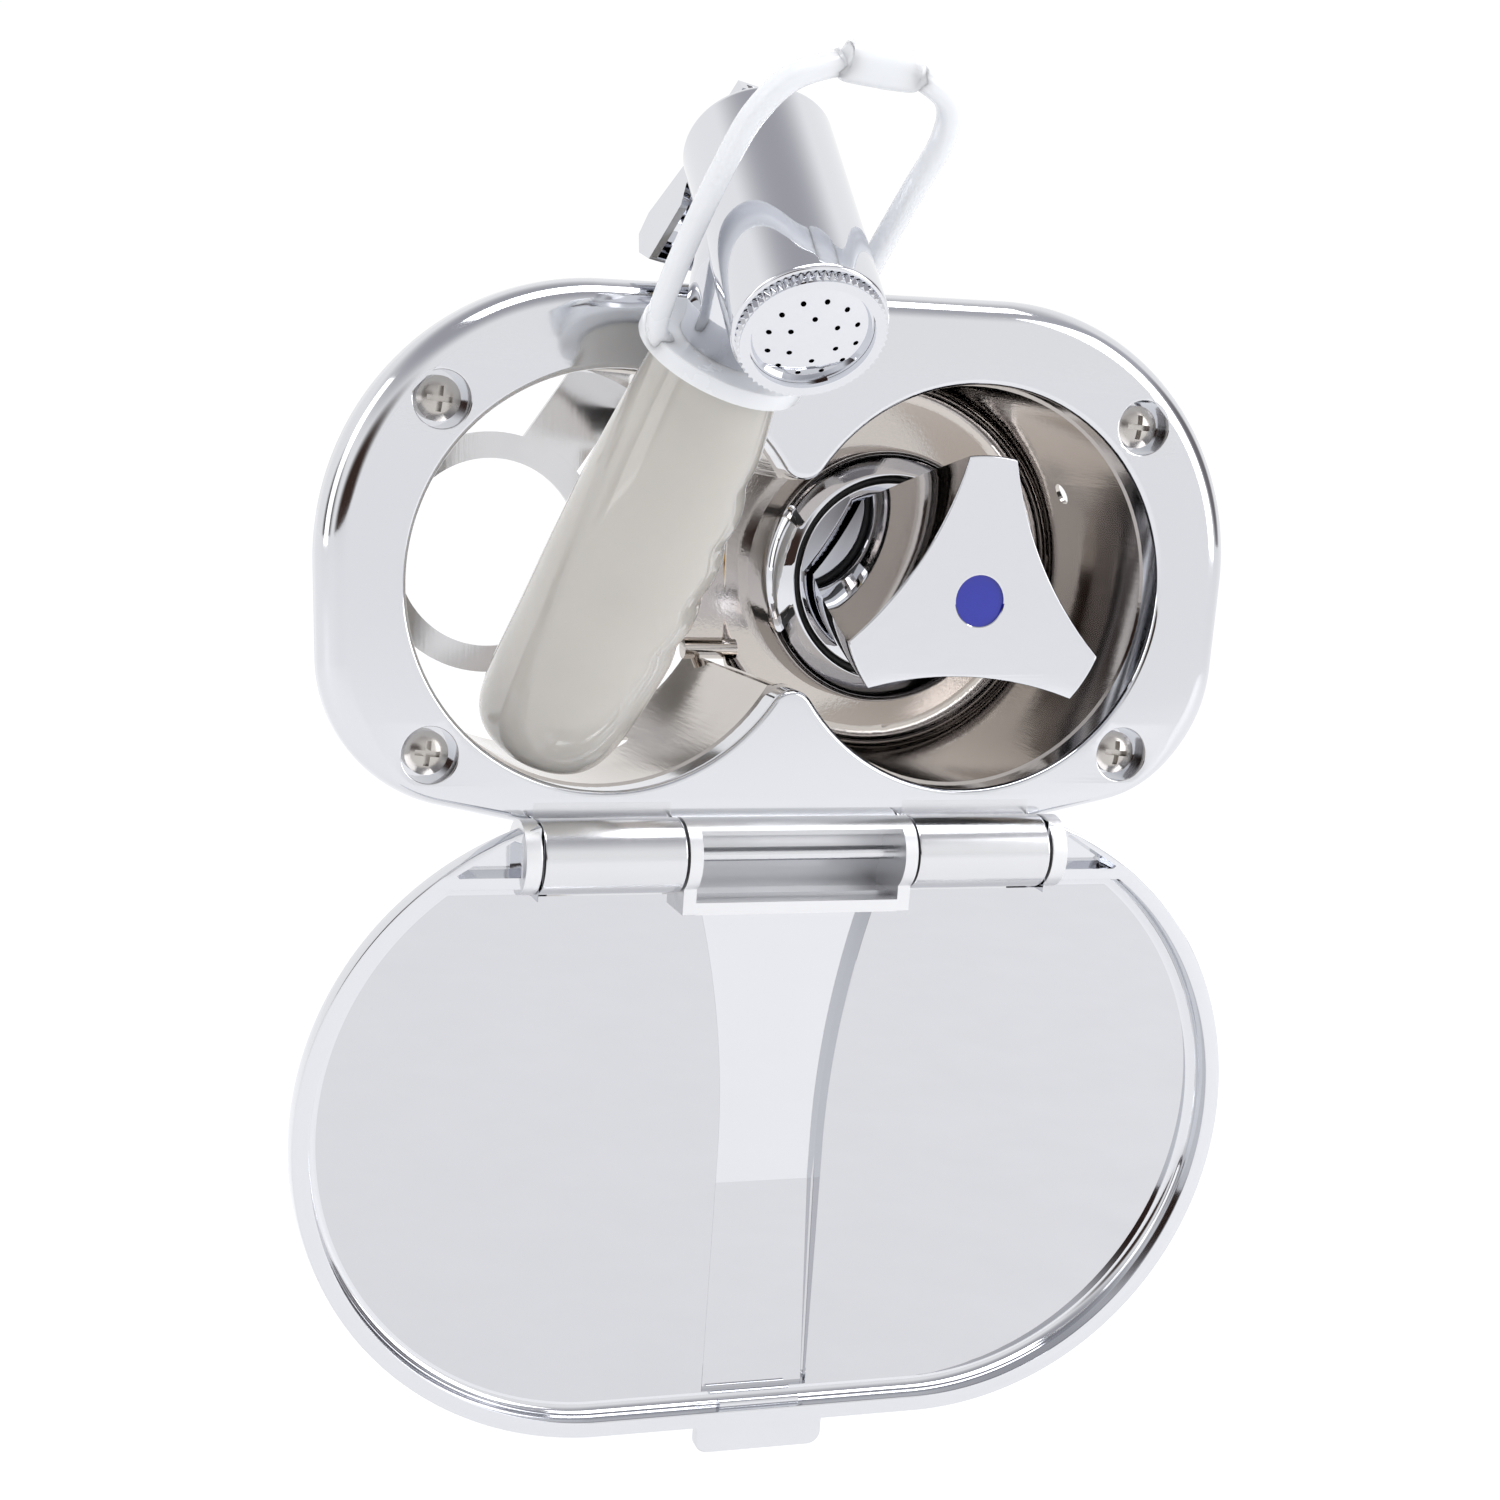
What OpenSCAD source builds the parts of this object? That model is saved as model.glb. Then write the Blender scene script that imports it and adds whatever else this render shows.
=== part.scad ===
// Recessed deck-shower box with a hinged lid: a bezel with two joined round openings, a drawn cup with a
// tap, a ring that holds the hand shower, the hand shower itself and a hanging strap.
// Origin: on the hull's outer face, midway between the four screws. +X right, +Y into the hull, +Z up.

/* [Bezel] */
// Radius of each round opening
opening_r = 45; // [43:0.5:45]
// Distance from the middle to the centre of each opening
opening_x = 41.7; // [41:0.1:43]
// Thickness of the bezel
bezel_t = 8; // [7:0.5:10]
// Width of the bezel's rounded outer edge
bullnose = 6; // [4:0.5:6]
// Half the spacing of the mounting screws across
screw_x = 80.5; // [79:0.5:81]
// Half the spacing of the mounting screws up
screw_z = 37.1; // [36:0.1:38]
// Radius of the counterbores
counterbore_r = 6.1; // [5.5:0.1:6.5]

/* [Cup] */
// Depth from the bezel's face to the cup's floor
cup_depth = 62; // [60:1:66]
// Thickness of the drawn sheet
sheet_t = 1; // [0.8:0.1:1.2]
// Depth of the ring that holds the hand shower
ring_depth = 108; // [95:1:115]
// Inner radius of that ring
ring_r = 23.3; // [23:0.1:24]

/* [Lid] */
// Angle between the shut lid and the open lid
lid_open_angle = 183; // [175:1:184]
// Depth of the lid's inside below its rim
lid_cavity = 5.7; // [5:0.1:6]
// Width of the lid's flat rim
lid_rim = 3.7; // [3:0.1:5]
// Radius of the hinge barrels
barrel_r = 8.1; // [7.5:0.1:8.2]
// Radius of the hinge pin
pin_r = 1.5; // [1.2:0.1:2]

/* [Tap] */
// Distance from the middle to the tap's axis
tap_x = 40.8; // [40:0.1:42]
// Height of the tap's axis
tap_z = -2.1; // [-3:0.1:0]
// Radius of the knob at its three tips
knob_r = 32; // [29:0.5:33]
// Radius of the knob at its back
knob_back_r = 20.5; // [19:0.5:21]

/* [Hand shower] */
// Lean of the handle away from upright
shower_lean = 31.7; // [28:0.1:34]
// Direction in which the handle leans
shower_turn = -64.1; // [-68:0.1:-60]
// Turn of the head about the handle's axis
shower_roll = -22.3; // [-30:0.1:-15]
// Length of the handle from its bottom to the strap's collar
handle_len = 99.3; // [95:0.1:100]
// Radius of the spray head
head_r = 15.5; // [15:0.1:16]
// Length of the spray head
head_len = 57; // [54:1:58]
// Droop of the spray head below square to the handle
head_droop = 11.5; // [5:0.5:15]

/* [Hidden] */
$fn = 64;
eps = 0.01;

// Bezel outline: two large top corners and two tighter bottom corners, [x, z, radius]
top_corner = [46.3, 4.8, 58.7];
low_corner = [71, -16.2, 33];
neck_tip_r = 5.4;
neck_tip_z = sqrt(pow(opening_r + neck_tip_r, 2) - pow(opening_x, 2));
neck_x = opening_x * neck_tip_r / (opening_r + neck_tip_r);
neck_z = neck_tip_z * opening_r / (opening_r + neck_tip_r);
screw_hole_r = 2.75;
counterbore_depth = 5.7;
screw_head_r = 4.75;
screw_head_h = 3.6;
screw_len = 25;
screw_thread_r = 2.4;
// Plain shank, thinner than the thread, up to the hull's face
screw_shank_r = 2.2;
flange_y = bezel_t;
gasket_y = flange_y + sheet_t;
gasket_t = 1.5;
hull_y = gasket_y + gasket_t;
cup_r = opening_r - 0.4;
cup_corner_r = 5;

// Hinge: the axis lies in front of the bezel and below it
hinge_y = -5.05;
hinge_z = -58;
barrel_in = 26.7;
barrel_out = 58.1;
hinge_gap = 0.5;
pin_half = 61.6;
pin_clear = 0.05;
window_half = 23.3;
window_r = 6.4;

// Lid outline, shut: two circles on each side, [x, z, radius]
lid_side = [37.6, 2.3, 71];
lid_face = -0.2;
lid_edge_t = 5;
lid_t = 10;
lid_skin = 1.7;
channel_end_z = 67;
channel_start_z = -45.7;
tab_half = 15;

// Tap, distances from the bezel's face
knob_face = -4.8;
knob_back = 46.4;
knob_scoop_r = 84;
knob_waist = 17;
esc_r = 30;
esc_face = 47.5;
spindle_r = 4;
head_bush_r = 10;
tail_r = 10.4;

// Hand shower: bottom of the handle in the row's frame
shower_foot = [-53, 19.5, -36.8];
head_h = 129.6;
head_back = 28;
neck_r = 10.4;
collar_h = handle_len;
collar_t = 4;
strap_plane = 3.5;
trigger_pivot = [-5, -3.8];
hose_bore_r = 4.8;
lug_r = 2.4;

// ---------- shared shapes ----------

// Convex outline round two pairs of circles, as points at equal turns
function outline_point(a, b, turn, inset) = let (side = sign(cos(turn)),
    c = side * cos(turn) * (a[0] - b[0]) + sin(turn) * (a[1] - b[1]) + a[2] - b[2] > 0 ? a : b)
    [side * c[0] + (c[2] - inset) * cos(turn), c[1] + (c[2] - inset) * sin(turn)];
module round_outline(a, b, inset = 0, n = 160) {
    polygon([for (k = [0 : n - 1]) outline_point(a, b, (k + 0.5) * 360 / n, inset)]);
}

// A 2D shape drawn in X and Z, standing from depth y for a thickness t
module slab(y, t) {
    translate([0, y + t, 0]) rotate([90, 0, 0]) linear_extrude(height = t) children();
}

// A shape of revolution about an axis along Y: the profile is [radius, depth]
module turned_y(x = 0, z = 0) {
    translate([x, 0, z]) rotate([-90, 0, 0]) rotate_extrude() children();
}

// A cylinder along Y
module rod_y(x, z, y0, y1, r) {
    translate([x, y0, z]) rotate([-90, 0, 0]) cylinder(r = r, h = y1 - y0);
}

// A cylinder along X on the hinge axis
module hinge_rod(x0, x1, r) {
    translate([x0, hinge_y, hinge_z]) rotate([0, 90, 0]) cylinder(r = r, h = x1 - x0);
}

// The two openings and the neck between them, with rounded tips
module opening_outline(grow = 0) {
    for (side = [-1, 1]) translate([side * opening_x, 0]) circle(r = opening_r + grow, $fn = 128);
    difference() {
        square([2 * neck_x + eps, 2 * neck_z], center = true);
        for (side = [-1, 1]) translate([0, side * neck_tip_z]) circle(r = neck_tip_r - grow);
    }
}

module at_screws() {
    for (sx = [-1, 1], sz = [-1, 1]) translate([sx * screw_x, 0, sz * screw_z]) children();
}

// A thin disc with its edge pulled in, for the corners of the rounded bezel
module bezel_corner(c) {
    for (step = [0 : 4]) {
        turn = step * 90 / 4;
        rod_y(c[0], c[1], bullnose * (1 - sin(turn)), bezel_t, c[2] - bullnose * (1 - cos(turn)), $fn = 48);
    }
}

// Depths are drawn from the bezel's front face, then everything moves forward until the gasket's back lies on
// the hull's face at y = 0
module seated() {
    translate([0, -hull_y, 0]) children();
}

// ---------- bezel and what is fixed to it ----------

module bezel() {
    color([0.86, 0.87, 0.89]) seated() difference() {
        union() {
            hull() for (side = [-1, 1]) {
                bezel_corner([side * top_corner[0], top_corner[1], top_corner[2]]);
                bezel_corner([side * low_corner[0], low_corner[1], low_corner[2]]);
            }
            for (side = [-1, 1]) {
                x0 = side > 0 ? barrel_in : -barrel_out;
                hinge_rod(x0, x0 + barrel_out - barrel_in, barrel_r);
                translate([x0, 0, hinge_z]) cube([barrel_out - barrel_in, 3, 12]);
            }
        }
        slab(-1, bezel_t + 2) opening_outline();
        for (sx = [-1, 1], sz = [-1, 1]) {
            rod_y(sx * screw_x, sz * screw_z, -1, bezel_t + 1, screw_hole_r);
            rod_y(sx * screw_x, sz * screw_z, -1, counterbore_depth, counterbore_r);
        }
        hinge_rod(-barrel_out - 1, barrel_out + 1, pin_r);
    }
}

module recess_cup() {
    color([0.62, 0.60, 0.58]) seated() {
        difference() {
            slab(flange_y, sheet_t) round_outline(top_corner, low_corner, 0.8);
            slab(flange_y - 1, sheet_t + 2) opening_outline(-0.4);
            for (sx = [-1, 1], sz = [-1, 1]) {
                rod_y(sx * screw_x, sz * screw_z, flange_y - 1, flange_y + 2, screw_hole_r);
            }
        }
        // Right-hand drawn cup, open to the left at the neck
        difference() {
            turned_y(opening_x) difference() {
                union() {
                    translate([0, flange_y]) square([cup_r + sheet_t, cup_depth - cup_corner_r - flange_y]);
                    translate([0, cup_depth - cup_corner_r]) {
                        square([cup_r + sheet_t - cup_corner_r, cup_corner_r + sheet_t]);
                    }
                    translate([cup_r - cup_corner_r, cup_depth - cup_corner_r]) intersection() {
                        circle(r = cup_corner_r + sheet_t);
                        square(cup_corner_r + sheet_t);
                    }
                }
                translate([0, flange_y - 1]) square([cup_r, cup_depth - cup_corner_r - flange_y + 1]);
                translate([0, cup_depth - cup_corner_r]) {
                    square([cup_r - cup_corner_r, cup_corner_r]);
                }
                translate([cup_r - cup_corner_r, cup_depth - cup_corner_r]) intersection() {
                    circle(r = cup_corner_r);
                    square(cup_corner_r);
                }
            }
            translate([-50, flange_y - 1, -neck_z]) cube([50 + neck_x, cup_depth + 4, 2 * neck_z]);
            rod_y(tap_x, tap_z, cup_depth - 2, cup_depth + 4, 13.3);
            // Small hole in the right-hand wall
            translate([opening_x, 43, 0]) rotate([0, -25.7, 0]) translate([cup_r - 3, 0, 0]) {
                rotate([0, 90, 0]) cylinder(r = 2.65, h = 6);
            }
        }
        // Floor tongue reaching left through the neck, with its rolled lower edge
        difference() {
            translate([-6, cup_depth, -21]) cube([26, sheet_t, 42]);
            translate([opening_x, cup_depth - 1, 0]) rotate([-90, 0, 0]) cylinder(r = 38, h = 4);
        }
        translate([-6, cup_depth - 1.4, -21]) rotate([0, 90, 0]) cylinder(r = 2.4, h = 13);
        // Curved walls of the open left-hand chamber, below and above the neck
        difference() {
            rod_y(-opening_x, 0, flange_y, cup_depth + 4, cup_r + sheet_t);
            rod_y(-opening_x, 0, flange_y - 1, cup_depth + 5, cup_r);
            translate([-opening_x - 60, flange_y - 1, -neck_z + 2.5]) cube([120, 70, 2 * neck_z + 30]);
            translate([-opening_x - 60, flange_y - 1, -60]) cube([41, 70, 80]);
            translate([neck_x, flange_y - 1, -60]) cube([60, 70, 60]);
            translate([-opening_x, 48, 0]) rotate([0, 71, 0]) translate([cup_r - 3, 0, 0]) {
                rotate([0, 90, 0]) cylinder(r = 5, h = 6);
            }
        }
        difference() {
            rod_y(-opening_x, 0, flange_y, cup_depth + 4, cup_r + sheet_t);
            rod_y(-opening_x, 0, flange_y - 1, cup_depth + 5, cup_r);
            translate([-opening_x - 60, flange_y - 1, -60]) cube([120, 70, 60 + neck_z - 2.5]);
            translate([-opening_x - 60, flange_y - 1, 0]) cube([70, 70, 80]);
            translate([neck_x, flange_y - 1, 0]) cube([60, 70, 60]);
            translate([-opening_x, 0, 0]) for (y = [46, 57]) {
                translate([0, y, 0]) rotate([0, -56, 0]) rotate([0, 90, 0]) cylinder(r = 2, h = 60);
            }
        }
    }
}

module bezel_gasket() {
    color([0.12, 0.12, 0.13]) seated() difference() {
        slab(gasket_y, gasket_t) round_outline(top_corner, low_corner, 1);
        slab(gasket_y - 1, gasket_t + 2) opening_outline(0.8);
        for (sx = [-1, 1], sz = [-1, 1]) {
            rod_y(sx * screw_x, sz * screw_z, gasket_y - 1, gasket_y + 3, screw_hole_r);
        }
    }
}

module mounting_screws() {
    head_y = counterbore_depth - screw_head_h;
    color([0.72, 0.69, 0.66]) seated() at_screws() difference() {
        union() {
            turned_y() {
                translate([0, head_y + 1.6]) square([screw_head_r, screw_head_h - 1.6]);
                intersection() {
                    translate([0, head_y + 8.4]) circle(r = 8.4);
                    translate([0, head_y]) square([screw_head_r, 1.6 + eps]);
                }
            }
            rod_y(0, 0, counterbore_depth, hull_y, screw_shank_r);
            rod_y(0, 0, hull_y, counterbore_depth + screw_len - 3, screw_thread_r);
            turned_y() polygon([[0, counterbore_depth + screw_len - 3],
                [screw_thread_r, counterbore_depth + screw_len - 3], [0, counterbore_depth + screw_len]]);
        }
        for (turn = [0, 90]) translate([0, head_y - 1, 0]) rotate([0, turn + 5, 0]) {
            translate([-2.7, 0, -0.6]) cube([5.4, 3, 1.2]);
        }
    }
}

module hinge_pin() {
    color([0.7, 0.72, 0.74]) seated() hinge_rod(-pin_half, pin_half, pin_r);
}

module handset_ring() {
    color([0.75, 0.76, 0.78]) seated() {
        difference() {
            rod_y(-opening_x, -3.2, ring_depth, ring_depth + 1.5, 29.8);
            rod_y(-opening_x, -3.2, ring_depth - 1, ring_depth + 3, ring_r);
        }
        translate([-opening_x, 0, 0]) rotate([0, -56, 0]) {
            difference() {
                translate([25.5, ring_depth, -8]) cube([cup_r + sheet_t + 1 - 25.5, 1.5, 16]);
                translate([-3.2 * sin(56), ring_depth - 1, -3.2 * cos(56)]) {
                    rotate([-90, 0, 0]) cylinder(r = ring_r, h = 4);
                }
            }
            difference() {
                translate([cup_r + sheet_t, 38, -8]) cube([1.5, ring_depth - 36.5, 16]);
                for (y = [46, 57]) translate([30, y, 0]) rotate([0, 90, 0]) cylinder(r = 2, h = 30);
            }
        }
    }
}

module ring_rivets() {
    color([0.66, 0.66, 0.68]) seated() for (y = [46, 57]) {
        translate([-opening_x, y, 0]) rotate([0, -56, 0]) rotate([0, 90, 0]) {
            translate([0, 0, cup_r - 1.6]) cylinder(r = 3.4, h = 1.5);
            translate([0, 0, cup_r - 0.2]) cylinder(r = 1.95, h = sheet_t + 2.6);
            translate([0, 0, cup_r + sheet_t + 1.5]) cylinder(r = 3.2, h = 1.2);
        }
    }
}

// ---------- tap ----------

module escutcheon() {
    color([0.84, 0.85, 0.88]) seated() turned_y(tap_x, tap_z) polygon([[esc_r + 0.8, cup_depth], [esc_r, esc_face + 1.2],
        [esc_r - 0.5, esc_face + 0.3], [esc_r - 1.3, esc_face], [24.6, esc_face + 2.4], [24.2, esc_face + 5.5],
        [14, esc_face + 5.5], [14, esc_face + 7], [23, esc_face + 7.2], [28.3, esc_face + 3.5],
        [29.2, cup_depth]]);
}

module escutcheon_seal() {
    color([0.05, 0.05, 0.06]) seated() turned_y(tap_x, tap_z) polygon([[20.5, esc_face + 5.4], [24.1, esc_face + 5.4],
        [24.1, esc_face + 1.6], [23.2, esc_face + 0.4], [21.6, esc_face + 1.4], [20.5, esc_face + 3]]);
}

module tap_body() {
    color([0.76, 0.66, 0.42]) seated() {
        difference() {
            union() {
                rod_y(tap_x, tap_z, cup_depth - 7, cup_depth + sheet_t, 13);
                rod_y(tap_x, tap_z, cup_depth + sheet_t, cup_depth + 5, 19);
                rod_y(tap_x, tap_z, cup_depth + 5, cup_depth + 38, 15);
                // Inlet points down, outlet points left towards the ring
                translate([tap_x, cup_depth + 26, tap_z - 38]) cylinder(r = 9.2, h = 38);
                translate([tap_x, cup_depth + 26, tap_z - 38]) cylinder(r = tail_r, h = 14);
                translate([tap_x - 36, cup_depth + 26, tap_z]) rotate([0, 90, 0]) cylinder(r = 9.2, h = 36);
                translate([tap_x - 36, cup_depth + 26, tap_z]) rotate([0, 90, 0]) cylinder(r = tail_r, h = 14);
            }
            rod_y(tap_x, tap_z, cup_depth - 8, cup_depth + 34, 9);
            translate([tap_x, cup_depth + 26, tap_z - 39]) cylinder(r = 7, h = 39);
            translate([tap_x - 37, cup_depth + 26, tap_z]) rotate([0, 90, 0]) cylinder(r = 7, h = 37);
        }
    }
}

module tap_locknut() {
    color([0.78, 0.7, 0.48]) seated() difference() {
        translate([tap_x, cup_depth - 5, tap_z]) rotate([-90, 0, 0]) cylinder(r = 18.5, h = 5, $fn = 6);
        rod_y(tap_x, tap_z, cup_depth - 6, cup_depth + 1, 13);
    }
}

module tap_headwork() {
    color([0.8, 0.72, 0.5]) seated() difference() {
        union() {
            rod_y(tap_x, tap_z, 26, 45, head_bush_r);
            translate([tap_x, 45, tap_z]) rotate([-90, 0, 0]) cylinder(r = 12.5, h = 10, $fn = 6);
            rod_y(tap_x, tap_z, 55, cup_depth + 12, 9);
        }
        rod_y(tap_x, tap_z, 25, cup_depth + 6, spindle_r + 0.05);
    }
}

module tap_spindle() {
    color([0.8, 0.74, 0.56]) seated() difference() {
        rod_y(tap_x, tap_z, 8.3, cup_depth + 5.5, spindle_r);
        rod_y(tap_x, tap_z, 7, 16, 2);
    }
}

module tap_knob() {
    scoop_centre = knob_waist + knob_scoop_r;
    color([0.85, 0.86, 0.9]) seated() difference() {
        turned_y(tap_x, tap_z) polygon([[0, knob_face], [knob_r - 0.4, knob_face], [knob_r, knob_face + 0.6],
            [knob_back_r, knob_back - 1.2], [knob_back_r - 1, knob_back], [0, knob_back]]);
        for (turn = [30, 150, 270]) translate([tap_x, 0, tap_z]) rotate([0, -turn + 2.5, 0]) {
            rod_y(scoop_centre, 0, knob_face - 1, knob_back + 1, knob_scoop_r, $fn = 256);
        }
        rod_y(tap_x, tap_z, 22, knob_back + 1, 15.2);
        rod_y(tap_x, tap_z, 8, 23, spindle_r + 0.02);
        rod_y(tap_x, tap_z, knob_face - 1, 9, 2.2);
        rod_y(tap_x, tap_z, knob_face - 1, 1.2, 5.7);
    }
}

module knob_screw() {
    color([0.7, 0.7, 0.72]) seated() {
        rod_y(tap_x, tap_z, -1.6, 1.2, 3.9);
        rod_y(tap_x, tap_z, 1.1, 15, 1.98);
    }
}

module knob_cap() {
    color([0.15, 0.2, 0.72]) seated() rod_y(tap_x, tap_z, knob_face + 0.6, knob_face + 2.6, 5.7);
}

// ---------- lid ----------

// Turns a shape drawn for the shut lid into the open position
module opened() {
    translate([0, hinge_y, hinge_z]) rotate([lid_open_angle, 0, 0]) translate([0, -hinge_y, -hinge_z]) children();
}

// Half-width of the channel along its length
function channel_half(z) = 12.5 + 7.8 * pow(max(0, (10 - z) / 55.7), 2);
// Depth of the channel below the lid's floor, from the hinge end to the latch end
function channel_deep(z) = 1.5 + 6.1 * (channel_end_z - z) / (channel_end_z - channel_start_z);

// The channel from its hinge end to its latch end, grown for its outer skin
function channel_ring(z, zd, grow, top) = let (half = channel_half(zd) + grow,
    deep = lid_cavity - lid_face + channel_deep(zd) + grow)
    [[-half, -deep, z], [half, -deep, z], [half, -top, z], [-half, -top, z]];
module channel_shape(start, end, grow, top) {
    zs = [start, -36, -26, -16, -6, 6, end];
    skin([for (z = zs) channel_ring(z, max(z, channel_start_z), grow, top)]);
}

// Outline of the lid as a ring of points at depth y
function lid_ring(y, inset, n = 96) = [for (k = [0 : n - 1])
    let (turn = (k + 0.5) * 360 / n, r = lid_side[2] - inset)
    [sign(cos(turn)) * lid_side[0] + r * cos(turn), y, lid_side[1] + r * sin(turn)]];

module lid() {
    color([0.85, 0.86, 0.88]) seated() opened() difference() {
        union() {
            difference() {
                skin([lid_ring(lid_face, 0), lid_ring(lid_face - lid_edge_t, 0),
                    lid_ring(lid_face - lid_edge_t - 1.6, 0.9), lid_ring(lid_face - lid_edge_t - 3, 3),
                    lid_ring(lid_face - lid_t + 0.9, 8), lid_ring(lid_face - lid_t, 22)]);
                slab(lid_face - lid_cavity, lid_cavity + 1) intersection() {
                    union() {
                        for (side = [-1, 1]) translate([side * lid_side[0], lid_side[1]]) {
                            circle(r = lid_side[2] - lid_rim, $fn = 128);
                        }
                        square([2 * lid_side[0], 2 * (lid_side[2] - lid_rim - lid_side[1])], center = true);
                        translate([-lid_side[0], 0]) square([2 * lid_side[0], lid_side[1] + lid_side[2] - lid_rim]);
                    }
                    translate([-120, -52]) square([240, 200]);
                }
                // Clearance for the bezel's two barrels, and the open foot of the lid between them
                translate([-barrel_out - hinge_gap, -30, -90]) {
                    cube([2 * (barrel_out + hinge_gap), 60, 90 + hinge_z + barrel_r + 0.6]);
                }
                translate([-120, -30, -160]) cube([240, 60, 160 + hinge_z - barrel_r]);
            }
            channel_shape(channel_start_z - 3, channel_end_z + 1, lid_skin, lid_cavity + 0.6);
            // Central knuckle, joined to the lid's floor
            difference() {
                union() {
                    hinge_rod(-barrel_in + hinge_gap, barrel_in - hinge_gap, barrel_r);
                    translate([-barrel_in + hinge_gap, -15.2, hinge_z]) {
                        cube([2 * (barrel_in - hinge_gap), 15, channel_start_z - hinge_z]);
                    }
                }
                hinge_rod(-window_half, window_half, window_r);
                translate([-window_half, -13.2, hinge_z]) cube([2 * window_half, 30, -48.4 - hinge_z]);
                translate([-window_half, hinge_y, hinge_z - window_r]) cube([2 * window_half, 30, 9.6 + window_r]);
            }
            // End knuckles in the shoulders
            for (side = [-1, 1]) {
                x0 = side > 0 ? barrel_out + hinge_gap : -barrel_out - hinge_gap - 3.6;
                hinge_rod(x0, x0 + 3.6, barrel_r);
            }
            // Finger tab beyond the rim
            slab(lid_face - 3, 3) translate([-tab_half, 70.5]) {
                square([2 * tab_half, 5.8]);
                translate([3, 0]) square([2 * tab_half - 6, 8.8]);
                for (x = [3, 2 * tab_half - 3]) translate([x, 5.8]) circle(r = 3);
            }
        }
        channel_shape(channel_start_z, channel_end_z, 0, -1);
        hinge_rod(-pin_half - 0.3, pin_half + 0.3, pin_r + pin_clear);
        // Triangular pockets in the shoulders
        for (side = [-1, 1]) slab(lid_face - 6.5, 20) {
            polygon([[side * 62.4, -54], [side * 62.4, -62.2], [side * 76.5, -54]]);
        }
    }
}

module lid_catch() {
    wall_z = lid_side[1] + lid_side[2] - lid_rim;
    color([0.88, 0.88, 0.88]) seated() opened() difference() {
        translate([-9.4, -2.6, wall_z - 0.8]) rotate([0, 90, 0]) cylinder(r = 1.2, h = 18.8);
        translate([-12, -6, wall_z]) cube([24, 6, 3]);
    }
}

// ---------- hand shower ----------

// Places a shape drawn with its handle along Z at the hand shower's rest place
module shower() {
    translate(shower_foot) rotate([0, shower_lean, shower_turn]) rotate([0, 0, shower_roll]) children();
}

// Places a shape along the spray head: Z runs from its back to its face, +X points down the handle
module along_head() {
    translate([0, 0, head_h]) rotate([0, 90 + head_droop, 0]) translate([0, 0, -head_back]) children();
}

// Closed skin over equal rings of points, capped at both ends
module skin(rings) {
    n = len(rings[0]);
    m = len(rings);
    polyhedron(points = [for (ring = rings) each ring],
        faces = concat([[for (k = [0 : n - 1]) k]], [[for (k = [n - 1 : -1 : 0]) (m - 1) * n + k]],
            [for (j = [0 : m - 2], k = [0 : n - 1]) [j * n + k, (j + 1) * n + k, (j + 1) * n + (k + 1) % n,
                j * n + (k + 1) % n]]), convexity = 4);
}

// Handle sections: [height, half depth, half width]
handle_sections = [[0, 9, 8.6], [0.8, 12, 11.2], [3, 14.8, 13.8], [7, 16.6, 15.4], [15, 17.8, 16.4],
    [30, 18.6, 17], [50, 19, 17.3], [70, 18, 16.6], [85, 16.3, 15.2], [94, 15, 14.1], [handle_len, 14.2, 13.5]];
function handle_bow(h) = 4.2 * 4 * (h / 100) * (1 - h / 100);
function oval(h, a, b, n = 28) = [for (k = [0 : n - 1])
    [handle_bow(h) + a * cos(k * 360 / n), b * sin(k * 360 / n), h]];

module handle_grip() {
    color([0.86, 0.84, 0.79]) seated() shower() difference() {
        skin([for (s = handle_sections) oval(s[0], s[1], s[2])]);
        translate([0, 0, -1]) cylinder(r = 6.5, h = handle_len + 2);
        translate([0, 0, 88]) cylinder(r = 9.6, h = 20);
    }
}

module spray_head() {
    color([0.84, 0.85, 0.88]) seated() shower() difference() {
        union() {
            along_head() {
                translate([0, 0, 1.5]) cylinder(r = head_r, h = head_len - 1.5);
                rotate_extrude() polygon([[0, 0], [head_r - 1.5, 0], [head_r, 1.6], [0, 1.6]]);
                // Lug for the trigger's pin
                translate([trigger_pivot[0] - lug_r, -3, trigger_pivot[1]]) cube([2 * lug_r, 6, 5]);
                translate([trigger_pivot[0], 3, trigger_pivot[1]]) rotate([90, 0, 0]) cylinder(r = lug_r, h = 6);
            }
            // Neck flaring into the head, and the spigot inside the handle
            rotate_extrude() polygon([[0, 89], [9.6, 89], [9.6, handle_len], [neck_r, handle_len],
                [neck_r, collar_h + collar_t + 1], [12, 111], [14.2, 120], [15, 130], [0, 130]]);
        }
        along_head() {
            translate([0, 0, 14]) cylinder(r = head_r - 2.6, h = head_len);
            translate([0, 0, 5]) cylinder(r = 5, h = 12);
            translate([0, 0, -1]) cylinder(r = 2.1, h = 10);
            translate([trigger_pivot[0], 10, trigger_pivot[1]]) rotate([90, 0, 0]) cylinder(r = 1.25, h = 20);
        }
        translate([0, 0, 80]) cylinder(r = 6.5, h = head_h - 80);
    }
}

module spray_nut() {
    teeth = 60;
    color([0.8, 0.81, 0.84]) seated() shower() along_head() difference() {
        union() {
            translate([0, 0, head_len + 0.05]) cylinder(r = 14.2, h = 2.5);
            translate([0, 0, head_len + 0.3]) linear_extrude(height = 2) polygon([for (k = [0 : 2 * teeth - 1])
                let (r = k % 2 == 0 ? 14.8 : 14.1) [r * cos(k * 180 / teeth), r * sin(k * 180 / teeth)]]);
            translate([0, 0, head_len - 8]) cylinder(r = head_r - 2.6, h = 8.2);
        }
        translate([0, 0, head_len - 9]) cylinder(r = 11.6, h = 9);
        translate([0, 0, head_len - 1]) cylinder(r = 12.3, h = 5);
    }
}

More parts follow.
